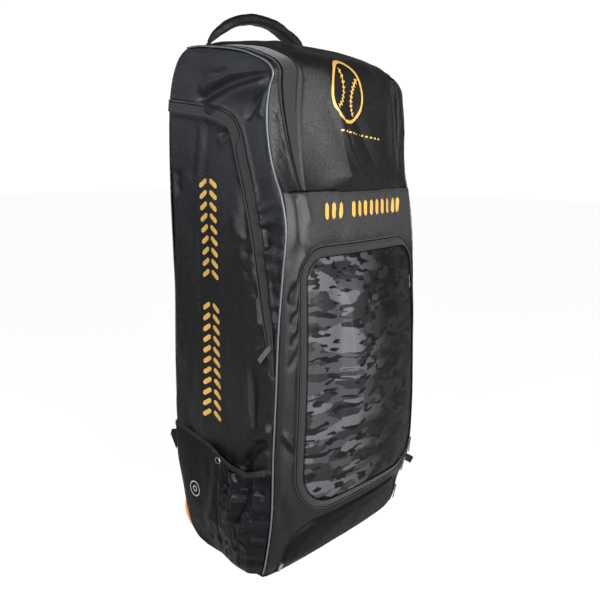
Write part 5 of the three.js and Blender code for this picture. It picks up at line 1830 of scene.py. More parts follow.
@dataclass
class LowerFront(Assembly):
    """The front below the crease, round the pocket and the boot compartment."""

    columns: int = 190
    folds: tuple[Fold, ...] = (
        Fold(((-194, 512), (-172, 553), (-156, 590)), -4.2, 6, 7, 0.2),
        Fold(((-188, 540), (-170, 580), (-158, 612)), 2.6, 8, 8, 0.25),
        Fold(((-190, 478), (-176, 500), (-161, 512)), -2.4, 5, 6, 0.3),
        Fold(((-190, 494), (-176, 518), (-162, 534)), 2.2, 6, 6, 0.3),
        Fold(((-190, 440), (-174, 462), (-160, 470)), -2.6, 5, 6, 0.3),
        Fold(((-190, 458), (-176, 480), (-162, 490)), 2.0, 5, 6, 0.3),
        Fold(((-192, 400), (-178, 424), (-164, 436)), -1.8, 6, 6, 0.3),
        Fold(((-203, 296), (-180, 268), (-158, 240)), 2.6, 5, 9, 0.25),
        Fold(((-203, 280), (-184, 254), (-162, 226)), -1.8, 6, 8, 0.25),
        Fold(((-165, 704), (-166, 668), (-170, 622)), -3.0, 8, 7, 0.25, 0.6),
        Fold(((-150, 704), (-150, 670), (-146, 640)), 1.8, 8, 10, 0.25),
        Fold(((-183, 704), (-184, 660), (-186, 600)), 1.6, 7, 8, 0.25),
        Fold(((104, 700), (103, 672), (106, 640)), -2.0, 5, 5, 0.3),
        Fold(((118, 700), (118, 668), (120, 640)), 1.9, 5, 5, 0.3),
        Fold(((131, 700), (132, 665), (134, 636)), -2.0, 5, 5, 0.3),
        Fold(((146, 700), (148, 662), (150, 630)), 1.9, 6, 6, 0.3),
        Fold(((160, 700), (164, 662), (168, 625)), -1.8, 6, 6, 0.3),
        Fold(((-60, 700), (-58, 672), (-52, 650)), 1.4, 9, 12, 0.3),
        Fold(((10, 700), (14, 672), (16, 650)), -1.4, 10, 12, 0.3),
        Fold(((-200, 180), (-186, 120), (-178, 60)), -2.2, 9, 9, 0.3),
    )

    def relief(self, x: Array, z: Array) -> Array:
        """Height of the cloth above its plain surface: folds, a ditch round the pocket and the boot arch.

        Args:
            x: place across of each point.
            z: height of each point.

        Returns:
            Heights in millimetres.
        """
        pocket = POCKET.distance(x, z)
        boot = BOOT.distance(x, z)
        folds = folded(self.folds, x, z)
        slow = cloud(x / 70, z / 90, 51, 2) * 1.2
        fine = cloud(x / 20 + z / 60, z / 26, 52) * 0.6 * smoothstep(-x, 120, 165) * smoothstep(z, 240, 420)
        ditch = -2.2 * bell(np.maximum(pocket, 0), 0, 5.0) - 1.2 * bell(np.maximum(boot, 0), 0, 4.0)
        calm = smoothstep(np.minimum(pocket, boot), 0, 8)
        lip = 1.2 * bell(z, 696, 5.0)
        strength = mix(2.3, 0.8, smoothstep(x, -130, 20))
        return (strength * folds + slow + 1.6 * fine) * calm + ditch + lip

    def build_crease(self) -> None:
        """Makes a near-black cord along the crease, which wavers a little: a painted shadow under the lid's
        tucked edge.
        """
        place = np.linspace(-0.925, 0.925, 170)
        line = FORM.wrap(FORM.crease + 0.012, place, 4.9)
        line[:, 2] += 1.3 * cloud(place * 6, 0 * place, 61) + 0.5 * cloud(place * 22, 0 * place, 62) + 0.8
        edge = tube(line, facing(line, 0, 0, 1), flat_oval(2.3, 1.8, 2.0, 8))
        # Painted shadow: the near-black cord stands where the crease is only in shade.
        self.cord("crease_binding", capped(edge), self.finishes.coil, "black_cloth")

    def build(self) -> None:
        """Makes the panel, leaving out what the pocket and the boot compartment cover."""
        stations = FORM.stations_between(0.0, FORM.crease, 2.7)
        left, right = FORM.wrap_reach(stations, -1, 2.5), FORM.wrap_reach(stations, 1, 2.5)
        turn = np.linspace(0, 1, self.columns)[None, :]
        across = np.sin(mix(-np.arcsin(left)[:, None], np.arcsin(right)[:, None], turn))
        along = np.broadcast_to(stations[:, None], across.shape)
        plain = FORM.wrap(along, across, FORM.crease_proud(along))
        x, z = plain[..., 0], plain[..., 2]
        room = (1 - np.abs(across)) * FORM.half
        wavy = cloud(x / 55, 0 * x, 61) * 1.6 * smoothstep(z, 660, 698)
        tuck = 1.2 * np.exp(-np.maximum(room - 2.4, 0) / 2.5)
        relief = self.relief(x, z) * smoothstep(room, 2.4, 10) - tuck
        grid = lifted(plain, relief, (0, -1, 0))
        grid[..., 2] += wavy
        covered = np.maximum(-POCKET.distance(x, z), -BOOT.distance(x, z)) > 7
        grid = rimmed(grid, 3.6, (0, -1, 0), "nsew")
        covered = np.pad(covered, 1)
        parts = MeshParts().add_grid(grid, (0, -1, 0))
        hidden = covered.ravel()[parts.faces[0]].all(1)
        parts.faces[0] = parts.faces[0][~hidden]
        piece = parts.finish("lower_front_cloth")
        self.build_crease()
        self.hand_over(piece, self.finishes.front, "black_cloth", ["lower_front_panel"])
        seams = MeshParts()
        normal = normals_of(grid, (0, -1, 0))
        stitched(seams, grid[-4, 3:-3], normal[-4, 3:-3])
        self.seam("crease_stitches", seams)


@dataclass
class FrontPocket(Assembly):
    """The rounded front pocket in camouflage cloth, with its zip tape all round."""

    lift: float = 1.6
    rings: int = 84
    folds: tuple[Fold, ...] = (
        Fold(((-80, 556), (-68, 500), (-64, 437), (-68, 370), (-58, 312), (-37, 250)),
             11, 110, 11, 0.16, 0.3),
        Fold(((-60, 540), (-45, 500), (-30, 449), (-24, 380), (-38, 320)), -2.2, 9, 16, 0.25),
        Fold(((-24, 440), (-20, 400), (-24, 360)), 1.8, 4, 6, 0.35),
        Fold(((-150, 520), (-110, 500), (-85, 470)), 1.8, 14, 14, 0.3),
        Fold(((-150, 420), (-120, 400), (-92, 400)), -1.6, 12, 14, 0.3),
        Fold(((-140, 330), (-110, 310), (-84, 300)), 1.8, 14, 14, 0.3),
        Fold(((60, 560), (80, 470), (76, 380)), 2.6, 30, 24, 0.3),
        Fold(((120, 540), (128, 420), (110, 300)), -2.0, 18, 20, 0.3),
        Fold(((-10, 240), (40, 210), (90, 220)), -1.8, 14, 16, 0.3),
    )

    def relief(self, x: Array, z: Array) -> Array:
        """Height of the camouflage cloth: a long crest whose right flank drops away, and soft bulges.

        Args:
            x: place across of each point.
            z: height of each point.

        Returns:
            Heights in millimetres.
        """
        inner = -POCKET.distance(x, z) - 18
        puff = 3.4 * smoothstep(inner, 0, 44)
        slow = cloud(x / 60, z / 80, 71, 2) * 1.8
        fine = cloud(x / 17, z / 13, 73) * 0.35
        edge = cloud(x / 11, z / 11, 75) * 0.8 * np.exp(-inner / 14)
        calm = smoothstep(inner, 0, 16)
        return puff + (folded(self.folds, x, z) + slow + fine) * calm + edge - 1.2 * np.exp(-inner / 1.5)

    def build(self) -> None:
        """Makes the cloth and the tape."""
        self.build_cloth()
        self.build_tape()

    def build_cloth(self) -> None:
        """Makes the cloth as rings that shrink from the tape to the middle."""
        edge = POCKET.loop(POCKET_BAND[0] - 0.5, POCKET_BAND[1] - 0.5, 2.6)
        centre = np.array([POCKET.shift, (POCKET.bottom + POCKET.top) / 2])
        half = edge - centre
        share = np.linspace(1, 0, self.rings)[:, None, None]
        flat = centre + half * share
        x, z = flat[..., 0], flat[..., 1]
        plain = FORM.front(x, z, self.lift + FORM.crease_proud(FORM.front_station(z)))
        plain[..., 1] -= self.relief(x, z)
        start = plain[:1] + (0, 3.2, 0)
        grid = np.concatenate([start, plain])
        parts = MeshParts().add_grid(grid, (0, -1, 0), round_columns=True)
        self.hand_over(parts.finish("front_pocket_cloth"), self.finishes.camo, "camouflage_cloth",
                       ["front_pocket_panel"])

    def tape_section(self) -> tuple[Array, Array]:
        """Place across the tape from 0 to 1, and height of the tape there."""
        share = np.linspace(0, 1, 22)
        slope = mix(-0.6, 1.9, smoothstep(share, 0, 1))
        coil = -1.4 * bell(share, 0.16, 0.055) + 0.5 * bell(share, 0.30, 0.08)
        roll = 0.8 * bell(share, 0.94, 0.06)
        return share, slope + coil + roll

    def build_tape(self) -> None:
        """Makes the tape round the cloth, with the coil near its outer edge, and its stitches."""
        outer = POCKET.loop(0.6, 0.6, 2.8)
        inner = POCKET.loop(POCKET_BAND[0] - 0.8, POCKET_BAND[1] - 0.8, 2.8)
        inner = resampled(inner, len(outer), closed=True)
        share, height = self.tape_section()
        flat = mix(outer[None], inner[None], share[:, None, None])
        x, z = flat[..., 0], flat[..., 1]
        wave = 0.4 * cloud(x / 30, z / 30, 81)
        proud = height[:, None] + wave + FORM.crease_proud(FORM.front_station(z))
        grid = FORM.front(x, z, proud)
        first, last = grid[:1] + (0, 3.0, 0), grid[-1:] + (0, 2.6, 0)
        parts = MeshParts().add_grid(np.concatenate([first, grid, last]), (0, -1, 0), round_columns=True)
        self.hand_over(parts.finish("front_pocket_tape"), self.finishes.tape, "zip_tape",
                       ["front_pocket_zip_band"])
        coil = MeshParts()
        for row, radius in ((3, 1.1), (-1, 0.8)):
            line = np.concatenate([grid[row], grid[row][:1]]) + (0, -0.3, 0)
            round_section = flat_oval(2 * radius, 2 * radius, 2.0, 8)
            coil.add_grid(capped(tube(line, facing(line, 0, -1, 0), round_section)), None, round_columns=True)
        self.hand_over(coil.finish("front_pocket_zip_coil"), self.finishes.coil, "zip_tape")
        seams = MeshParts()
        normal = normals_of(grid, (0, -1, 0))
        for row in (7, -3):
            path = np.concatenate([grid[row], grid[row][:1]])
            stitched(seams, path, np.concatenate([normal[row], normal[row][:1]]))
        self.seam("front_pocket_stitches", seams)


@dataclass
class BootCompartment(Assembly):
    """The boot compartment at the foot of the front: its arched zip and its smooth front."""

    def relief(self, x: Array, z: Array) -> Array:
        """Height of the panel: a soft puff inside the zip and slow waves.

        Args:
            x: place across of each point.
            z: height of each point.

        Returns:
            Heights in millimetres.
        """
        inner = -BOOT.distance(x, z) - BOOT_BAND
        puff = 3.2 * smoothstep(inner, 0, 26) - 1.4 * np.exp(-np.maximum(inner, 0) / 1.6)
        return puff + cloud(x / 60, z / 34, 91, 2) * 1.0 * smoothstep(inner, 0, 20)

    def arch(self, inset: float, count: int) -> Array:
        """The arch from its left foot to its right foot, as points (x, z).

        Args:
            inset: how far in, in millimetres.
            count: number of points.

        Returns:
            The arch's points.
        """
        half = BOOT.width / 2 - inset
        radius = BOOT.top_radius - inset
        top = BOOT.top - inset
        turn = np.radians(np.linspace(180, 90, 24))
        left = np.stack([-half + radius + radius * np.cos(turn), top - radius + radius * np.sin(turn)], -1)
        right = left[::-1] * (-1, 1)
        foot = np.array([[-half, 4.0]])
        return resampled(np.concatenate([foot, left, right, foot * (-1, 1)]), count)

    def build(self) -> None:
        """Makes the panel, the zip and its stitches."""
        edge = self.arch(BOOT_BAND - 0.3, 230)
        base = np.stack([edge[:, 0], np.full(len(edge), 3.8)], -1)
        share = np.linspace(0, 1, 44)[:, None, None]
        flat = mix(edge[None], base[None], share)
        x, z = flat[..., 0], flat[..., 1]
        grid = FORM.front(x, z, 0.4)
        grid[..., 1] -= self.relief(x, z)
        first = grid[:1] + (0, 3.0, 0)
        self.sheet("boot_cloth_panel", np.concatenate([first, grid]), (0, -1, 0), self.finishes.boot,
                   "black_cloth", ["boot_panel"])
        outer, inner = self.arch(0.3, 260), self.arch(BOOT_BAND - 0.5, 260)
        place = np.linspace(0, 1, 14)
        height = -0.4 + 1.3 * bell(place, 0.2, 0.16) - 1.6 * bell(place, 0.55, 0.12)
        height = height + 0.9 * bell(place, 0.86, 0.12)
        flat = mix(outer[None], inner[None], place[:, None, None])
        grid = FORM.front(flat[..., 0], flat[..., 1], height[:, None])
        first, last = grid[:1] + (0, 2.6, 0), grid[-1:] + (0, 2.6, 0)
        self.sheet("boot_zip_tape", np.concatenate([first, grid, last]), (0, -1, 0), self.finishes.boot,
                   "zip_tape", ["boot_zip_band"])
        seams = MeshParts()
        line = self.arch(-4.0, 260)
        relief = LowerFront(self.finishes).relief(line[:, 0], line[:, 1])
        path = FORM.front(line[:, 0], line[:, 1], relief + 0.2)
        stitched(seams, path, facing(path, 0, -1, 0))
        self.seam("boot_stitches", seams)


# Mouth of the side pockets: share of the depth, share of the pocket's height.
POCKET_MOUTH = np.array([
    (-0.56, 0.94), (-0.45, 0.885), (-0.34, 0.835), (-0.19, 0.845), (-0.06, 0.88), (0.05, 0.925),
    (0.29, 0.965), (0.49, 1),
])
# Side pocket rows: rise, how far it stands out, and how much of that lies in its front half.
POUCH_ROWS = np.array([
    (0, 0, 1), (0.004, 0.52, 1), (0.06, 0.66, 0.8), (0.19, 0.88, 0.6), (0.36, 1, 0.5),
    (0.56, 0.92, 0.5), (0.78, 0.7, 0.6), (1, 0.52, 0.7),
])


@dataclass
class SidePockets(Assembly):
    """The open lower pocket of each side: plain cloth behind, glossy camouflage in front, and a binding."""

    height: float = 226.0
    fullness: float = 23.0
    seam_share: float = 0.52
    front_gap: float = 3.78
    reach: int = 257
    binding_size: tuple[float, ...] = (11.0, 3.4)
    lift: float = 2.5
    folds: tuple[Fold, ...] = (
        Fold(((-50, 205), (-62, 172), (-66, 140), (-54, 100), (-34, 40)), 6.5, 12, 9, 0.12, 0.5),
        Fold(((-104, 205), (-92, 160), (-76, 118), (-44, 70), (-20, 26)), -8.5, 10, 15, 0.12, 0.3),
        Fold(((-132, 205), (-120, 178), (-134, 152)), -3.2, 6, 7, 0.25),
        Fold(((-120, 205), (-108, 178), (-112, 150), (-124, 120)), 3.6, 8, 8, 0.25),
        Fold(((-44, 196), (-40, 150)), -3.2, 6, 6, 0.25),
        Fold(((-30, 200), (-26, 160), (-28, 120)), 2.4, 7, 7, 0.3),
        Fold(((-2, 200), (-10, 158), (-4, 110), (20, 45)), 4.2, 14, 12, 0.2),
        Fold(((18, 206), (14, 150), (24, 90)), -2.2, 10, 14, 0.3),
        Fold(((-12, 70), (18, 24)), -3.4, 8, 9, 0.3),
        Fold(((-76, 60), (-78, 22), (-80, 2)), -4.5, 4, 4, 0.25, 1.0),
        Fold(((-70, 44), (-105, 50)), -1.8, 5, 5, 0.3),
        Fold(((-110, 108), (-92, 92), (-84, 70)), 2.4, 8, 8, 0.3),
    )

    def mouth(self, y: Array) -> Array:
        """Height of the pouch's mouth at a depth."""
        return np.interp(y / FORM.depth, POCKET_MOUTH[:, 0], POCKET_MOUTH[:, 1]) * self.height

    def place(self, along: Array, rise: Array, side: int, level: Array) -> tuple[Array, Array]:
        """Depth and height of a point of the pouch, for a first guess of its height.

        Args:
            along: from 0 at the rear seam to 1 at the front seam.
            rise: from 0 at the base to 1 at the mouth.
            side: -1 for the left side, 1 for the right one.
            level: first guess of the height.

        Returns:
            Depths and heights.
        """
        front = FORM.front_depth(level, side) + self.front_gap
        y = mix(FORM.rear_depth(level), front, along)
        return y, FORM.base_top + rise * (self.mouth(y) - FORM.base_top)

    def point(self, along: Array, rise: Array, side: int, lift: Array | float) -> Array:
        """Points of the pouch.

        Args:
            along: from 0 at the rear seam to 1 at the front seam.
            rise: from 0 at the base to 1 at the mouth.
            side: -1 or 1.
            lift: distance from the side's own cloth where the pouch lies flat.

        Returns:
            Points in millimetres.
        """
        level = np.maximum(rise * self.height, FORM.base_top)
        for _ in range(2):
            y, z = self.place(along, rise, side, level)
            level = z
        stand = np.interp(rise, POUCH_ROWS[:, 0], POUCH_ROWS[:, 1])
        front = np.interp(rise, POUCH_ROWS[:, 0], POUCH_ROWS[:, 2])
        arch = np.maximum(np.sin(np.pi * along), 0) ** 0.8
        forward = smoothstep(along, 0.25, 0.7) * (1 - smoothstep(along, 0.86, 1))
        belly = mix(arch, forward, front)
        x = FORM.half_width(y, z) + lift + self.fullness * stand * belly
        return np.stack([side * x, y, z], -1)

    def relief(self, y: Array, z: Array, along: Array, glossy: Array) -> Array:
        """Height of the pouch's cloth: deep slanting folds, and crackle where the cloth is glossy.

        Args:
            y: depth of each point.
            z: height of each point.
            along: from 0 at the rear seam to 1 at the front seam.
            glossy: how glossy the cloth is, from 0 to 1.

        Returns:
            Heights in millimetres.
        """
        folds = folded(self.folds, y, z)
        crackle = 1 - np.abs(cloud(y / 15, z / 17, 101, 2))
        crackle = (crackle ** 2 - 0.5) * 2.6 * glossy
        gather = cloud(y / 7.5, z / 70, 104) * 1.6 * smoothstep(z, 165, 215) * smoothstep(-y, -20, 40)
        slow = cloud(y / 46, z / 60, 105) * 1.6
        calm = smoothstep(along, 0, 0.06) * (1 - smoothstep(along, 0.965, 1.0)) * smoothstep(z, 4, 16)
        return (folds + crackle + gather + slow) * calm

    def grid(self, start: float, end: float, side: int, columns: int, glossy: bool) -> Array:
        """Grid of one part of the pouch, from the base to the mouth.

        Args:
            start: where it starts.
            end: where it ends.
            side: -1 for the left side, 1 for the right one.
            columns: number of columns.
            glossy: whether its cloth is glossy.

        Returns:
            The grid.
        """
        rise = np.concatenate([np.linspace(0, 0.02, 5)[:-1], np.linspace(0.02, 1, 84)])[:, None]
        along = np.linspace(start, end, columns)[None, :]
        rise, along = np.broadcast_arrays(rise, along)
        points = self.point(along, rise, side, self.lift)
        shine = smoothstep(along, self.seam_share, self.seam_share + 0.06) * float(glossy)
        relief = self.relief(points[..., 1], points[..., 2], along, shine)
        from_seam = np.abs(along - self.seam_share) * self.reach
        relief = relief - 1.3 * np.exp(-from_seam / 1.6)
        room = np.abs(points[..., 0]) - FORM.half_width(points[..., 1], points[..., 2]) - 0.8
        points[..., 0] += side * np.maximum(relief, -np.maximum(room, 0) * 0.9)
        return points

    def build(self) -> None:
        """Makes both pockets."""
        for side in Side:
            for word, start, end, columns, material, slot in (
                ("rear", 0.0, self.seam_share, 56, self.finishes.pouch, "black_cloth"),
                ("camo", self.seam_share, 1.0, 62, self.finishes.gloss_camo, "camouflage_cloth"),
            ):
                points = self.grid(start, end, side.value, columns, word == "camo")
                piece = MeshParts().add_grid(points, side.outward).finish(f"side_pouch_{word}_{side.word}")
                thick = piece.modifiers.new("cloth", "SOLIDIFY")
                thick.thickness, thick.offset = 1.5 * MM, -1.0
                self.hand_over(piece, material, slot, [f"side_pocket_{word}_{side.word}"])
            self.build_binding(side)

    def build_binding(self, side: Side) -> None:
        """Makes the folded elastic along the mouth, with a row of stitches along each edge.

        Args:
            side: which side.
        """
        along = np.linspace(0.0, 1.0, 170)
        path = self.point(along, np.ones_like(along), side.value, 1.9)
        gather = cloud(along * 24, 0 * along, 111 + side.value) * 0.7
        path[:, 0] += side.value * gather
        path[:, 2] += 5.2 + gather * 0.6
        section = flat_oval(*self.binding_size, 3.0, 20)
        grid = tube(path, facing(path, 0, 0, 1), section)
        self.cord(f"pouch_binding_{side.word}", capped(grid), self.finishes.binding, "zip_tape",
                  [f"side_pocket_binding_{side.word}"])
        seams = MeshParts()
        outward = facing(path, side.value, 0, 0)
        for rise in (-3.2, 3.2):
            stitched(seams, path + outward * 1.75 + (0, 0, rise), outward)
        self.seam(f"pouch_binding_stitches_{side.word}", seams)


@dataclass
class BackPanel(Assembly):
    """The back: cloth with three padded channels of spacer mesh."""

    columns: int = 104
    outward: tuple[float, ...] = (0, 1, 0.3)
    pads: tuple[tuple[float, ...], ...] = ((-88, 250, 690, 120), (88, 250, 690, 120), (0, 120, 210, 250))

    def relief(self, x: Array, z: Array) -> Array:
        """Height of the back's pads: rounded boxes side by side, and slow waves.

        Args:
            x: place across of each point.
            z: height of each point.

        Returns:
            Heights in millimetres.
        """
        total = cloud(x / 80, z / 120, 121, 2) * 1.0
        for centre, low, high, width in self.pads:
            inner = np.minimum(width / 2 - np.abs(x - centre), np.minimum(z - low, high - z))
            total = total + 5.0 * smoothstep(inner, 0, 16)
        return total

    def build(self) -> None:
        """Makes the back."""
        stations = FORM.stations_between(FORM.last_front + 0.02, FORM.heel, 3.6)
        reach = (FORM.half - 2.5) / FORM.half
        across = np.sin(np.linspace(-np.arcsin(reach), np.arcsin(reach), self.columns))[None, :]
        along = np.broadcast_to(stations[:, None], (len(stations), self.columns))
        plain = FORM.wrap(along, across)
        room = (reach - np.abs(across)) * FORM.half
        behind = smoothstep(plain[..., 1], 100, 125)
        relief = self.relief(plain[..., 0], plain[..., 2]) * smoothstep(room, 0, 12) * behind
        grid = lifted(plain, relief, self.outward)
        self.sheet("back_cloth", rimmed(grid, 2.4, self.outward), self.outward, self.finishes.mesh,
                   "black_cloth", ["back_panel"])


# Handle: place across the span, rise. Values are shares of the span and of the rise.
HANDLE_ROWS = np.array([
    (-0.5, 0), (-0.475, 0.23), (-0.415, 0.45), (-0.35, 0.62), (-0.245, 0.83), (-0.107, 0.97), (0.02, 1),
    (0.13, 0.96), (0.21, 0.88), (0.31, 0.74), (0.4, 0.57), (0.47, 0.3), (0.5, 0),
])


@dataclass
class GrabHandle(Assembly):
    """The grab handle: a webbing loop through a padded, wrinkled sleeve."""

    span: float = 272.0
    shift: float = 10.0
    rise: float = 77.0
    foot_gap: float = 4.0
    steps: int = 150
    inside: tuple[int, int] = (13, 137)
    web_size: tuple[float, ...] = (24.0, 3.0)
    sleeve_size: tuple[float, ...] = (32.0, 21.0)

    def path(self, count: int) -> Array:
        """The webbing's middle line, which starts and ends a little inside the cloth.

        Args:
            count: number of points.

        Returns:
            The line's points.
        """
        station = FORM.place("shoulder") + 0.5
        feet = [FORM.wrap(station, (self.shift + along * self.span) / FORM.half) for along in (-0.5, 0.5)]
        lift = np.array([0, 0.5, 0.85]) * (self.web_size[1] / 2 + self.foot_gap)
        left, right = feet[0] + lift, feet[1] + lift
        points = []
        for along, rise in HANDLE_ROWS:
            foot = mix(left, right, along + 0.5)
            points.append((self.shift + along * self.span, foot[1], foot[2] + rise * self.rise))
        points = [tuple(feet[0] - 0.2 * lift), *points, tuple(feet[1] - 0.2 * lift)]
        return smooth_path(points, count)

    def build(self) -> None:
        """Makes the webbing and the sleeve."""
        path = self.path(self.steps)
        level = np.sin(np.pi * np.linspace(0, 1, self.steps))[:, None]
        wide = mix(np.array((0.0, 0.75, -0.66)), np.array((0.0, 1.0, 0.0)), level)
        web = tube(path, wide, flat_oval(*self.web_size, 6.0, 20))
        self.cord("handle_web", capped(web), self.finishes.webbing, "black_webbing", ["handle_webbing"])
        inside = slice(*self.inside)
        place = np.linspace(0, 1, inside.stop - inside.start)[:, None]
        angle = np.linspace(0, 2 * np.pi, 32, endpoint=False)[None, :]
        girth = 1 + 0.06 * cloud(place * 16, angle * 1.2, 131) + 0.02 * cloud(place * 46, angle * 2, 132)
        ends = 1 - 0.62 * np.exp(-place / 0.09) - 0.42 * np.exp(-(1 - place) / 0.05)
        section = flat_oval(*self.sleeve_size, 2.4, 32)[None] * (girth * ends)[..., None]
        section[..., 1] += bell(angle, 1.5 * np.pi, 0.16) * 0.9
        sleeve = tube(path[inside], wide[inside], section)
        piece = self.cord("handle_sleeve_cloth", capped(sleeve, 0.5), self.finishes.lid, "black_cloth",
                          ["handle_sleeve"])


# Shoulder straps: share of the half width, share of the height, how far they stand off the back.
STRAP_PAD = np.array([
    (0.3, 0.915, 0), (0.33, 0.84, 7), (0.38, 0.76, 13), (0.44, 0.68, 15), (0.51, 0.6, 14),
    (0.57, 0.53, 11), (0.62, 0.47, 8),
])
STRAP_TAIL = np.array([
    (0.62, 0.4696, 10), (0.66, 0.41, 7), (0.72, 0.35, 6), (0.8, 0.29, 6), (0.91, 0.232, 7),
])


@dataclass
class ShoulderStraps(Assembly):
    """Two padded shoulder straps on the back and their webbing tails."""

    pad_width: float = 62.0
    pad_thickness: float = 11.0
    tail_width: float = 25.0
    tail_thickness: float = 2.4

    def path(self, rows: Array, side: int, thickness: float, count: int) -> Array:
        """Middle line of one part of a strap.

        Args:
            rows: rows of the strap's table.
            side: -1 for the left side, 1 for the right one.
            thickness: its thickness.
            count: number of points.

        Returns:
            The line's points.
        """
        surface = FORM.back_surface(rows[:, 0], rows[:, 1] * FORM.height)
        y = surface[:, 1] + rows[:, 2] + thickness / 2 + 0.6
        return smooth_path(np.stack([side * rows[:, 0] * FORM.half, y, rows[:, 1] * FORM.height], -1), count)

    def build(self) -> None:
        """Makes both straps."""
        for side in Side:
            path = self.path(STRAP_PAD, side.value, self.pad_thickness, 120)
            section = flat_oval(self.pad_width, self.pad_thickness, 3.0, 40)
            swell = 1 + 0.04 * cloud(np.linspace(0, 9, 120)[:, None], np.linspace(0, 3, 40)[None, :], 141)
            grid = tube(path, facing(path, side.value, 0, 0), section[None] * swell[..., None])
            piece = self.cord(f"strap_cushion_{side.word}", capped(grid, 1.0), self.finishes.mesh,
                              "black_cloth", [f"strap_pad_{side.word}"])
            path = self.path(STRAP_TAIL, side.value, self.tail_thickness, 70)
            section = flat_oval(self.tail_width, self.tail_thickness, 6.0, 16)
            grid = tube(path, facing(path, side.value, 0, 0), section)
            self.cord(f"strap_tail_{side.word}", capped(grid), self.finishes.webbing, "black_webbing",
                      [f"strap_webbing_{side.word}"])


@dataclass
class SewnTabs(Assembly):
    """Webbing that is sewn into the seams: the strap anchors and the tab at the right end of the boot."""

    anchor_height: float = 54.0
    anchor_reach: float = 22.0
    thickness: float = 2.4
    tab_length: float = 18.0
    tab_width: float = 15.0

    def build(self) -> None:
        """Makes both anchors and the tab."""
        for side in Side:
            self.build_anchor(side)
        seam = FORM.wrap(np.array(FORM.place("boot") + 0.8), np.array(0.925))
        start = seam + np.array((-0.8, 0.8, 0.0))
        place = np.linspace(0, 1, 14)[:, None]
        path = start + np.array((0.72, -0.45, -0.5)) * self.tab_length * place
        path = path + np.array((0.0, 0.0, 1.0)) * 0.8 * np.sin(np.pi * place)
        wide = np.broadcast_to(np.array((0.2, 0.1, 1.0)) / np.hypot(np.hypot(0.2, 0.1), 1.0), path.shape)
        thick = 2.3 + 1.5 * smoothstep(place[:, 0], 0.55, 0.95)
        section = np.stack([flat_oval(self.tab_width, part, 5.0, 20) for part in thick])
        self.cord("pull_tab_loop", capped(tube(path, wide, section)), self.finishes.webbing, "black_webbing",
                  ["pull_tab_right"])

    def build_anchor(self, side: Side) -> None:
        """Makes one triangular anchor.

        Args:
            side: which side.
        """
        level = STRAP_TAIL[-1, 1] * FORM.height
        across = (FORM.half - 1.5 * self.thickness) / FORM.half
        base = FORM.back_surface(np.array([across]), np.array([level - 0.42 * self.anchor_height]))[0]
        place = np.linspace(0, 1, 26)[:, None]
        y = base[1] - 1.0 + (self.anchor_reach + 1.0) * place
        z = level - mix(0.42, 0.27, place) * self.anchor_height
        path = np.concatenate([0 * y + side.value * (FORM.half - 1.0 - self.thickness / 2), y, z], -1)
        widths = mix(0.98, 0.24, place[:, 0] ** 0.9) * self.anchor_height
        section = np.stack([flat_oval(width, self.thickness, 6.0, 24) for width in widths])
        grid = tube(path, facing(path, 0, 0, 1), section)
        self.cord(f"strap_anchor_web_{side.word}", capped(grid), self.finishes.webbing, "black_webbing",
                  [f"strap_anchor_{side.word}"])


@dataclass
class Wheels(Assembly):
    """The two amber wheels on black hubs, with five spokes and a grooved tread."""

    radius: float = 48.0
    half_width: float = 13.0
    hub_radius: float = 33.0
    bore: float = 5.5
    grooves: tuple[float, ...] = (-5.0, 0.0, 5.0)
    spokes: int = 5
    centre: tuple[float, ...] = (170.0, 77.0, 50.0)

    def lathe(self, profile: Array, side: int, ripple: Callable[[Array, Array], Array] | None = None,
              count: int = 120) -> Array:
        """Turns a profile of (radius, along the axle) pairs round the axle.

        Args:
            profile: the profile's points.
            side: -1 or 1.
            ripple: extra distance along the axle for a radius and an angle.
            count: steps round the axle.

        Returns:
            Grid of points.
        """
        angle = np.linspace(0, 2 * np.pi, count, endpoint=False)[None, :]
        radius, along = profile[:, :1], profile[:, 1:]
        shift = ripple(radius, angle) * np.sign(along) if ripple else 0.0
        x = side * (self.centre[0] + along + shift + 0 * angle)
        y, z = self.centre[1] + radius * np.cos(angle), self.centre[2] + radius * np.sin(angle)
        return np.stack([x, y, z], -1)

    def hollows(self, radius: Array, angle: Array) -> Array:
        """How far the hub's face sinks between its spokes: a wave round the axle, faded at both rims."""
        between = smoothstep(np.cos(self.spokes * angle), -0.2, 0.5)
        return -3.4 * between * smoothstep(radius, 11, 15) * (1 - smoothstep(radius, 25, 28.5))

    def build(self) -> None:
        """Makes both wheels."""
        half = self.half_width
        turn = np.radians(np.linspace(-80, 80, 22))
        along = half * np.sin(turn) / math.sin(math.radians(80))
        tread = np.stack([self.radius - 5 + 5 * np.cos(turn), along], -1)
        tread[:, 0] -= 0.8 * sum(bell(tread[:, 1], place, 0.9) for place in self.grooves)
        wall = [(self.hub_radius + 0.4, -half + 0.6), (self.hub_radius + 2, -half), (self.radius - 8, -half)]
        rim = np.array(wall + list(map(tuple, tread)) + [(r, -a) for r, a in reversed(wall)] + [wall[0]])
        hub = [(self.bore, -half), (10.5, -half), (12, -half + 1.5), (14, -half + 3), (20, -half + 3.6),
               (26, -half + 3), (28.5, -half + 1.5), (31, -half + 1.3), (33, -half + 1.6)]
        hub = np.array(hub + [(r, -a) for r, a in reversed(hub)] + [hub[0]])
        for side in Side:
            body = f"wheel_{side.word}"
            self.cord(f"tyre_{side.word}", self.lathe(rim, side.value), self.finishes.rubber, "amber_tyre",
                      [f"wheel_tyre_{side.word}"], body)
            self.cord(f"hub_{side.word}", self.lathe(hub, side.value, self.hollows), self.finishes.plastic,
                      "black_plastic", [f"wheel_hub_{side.word}"], body)


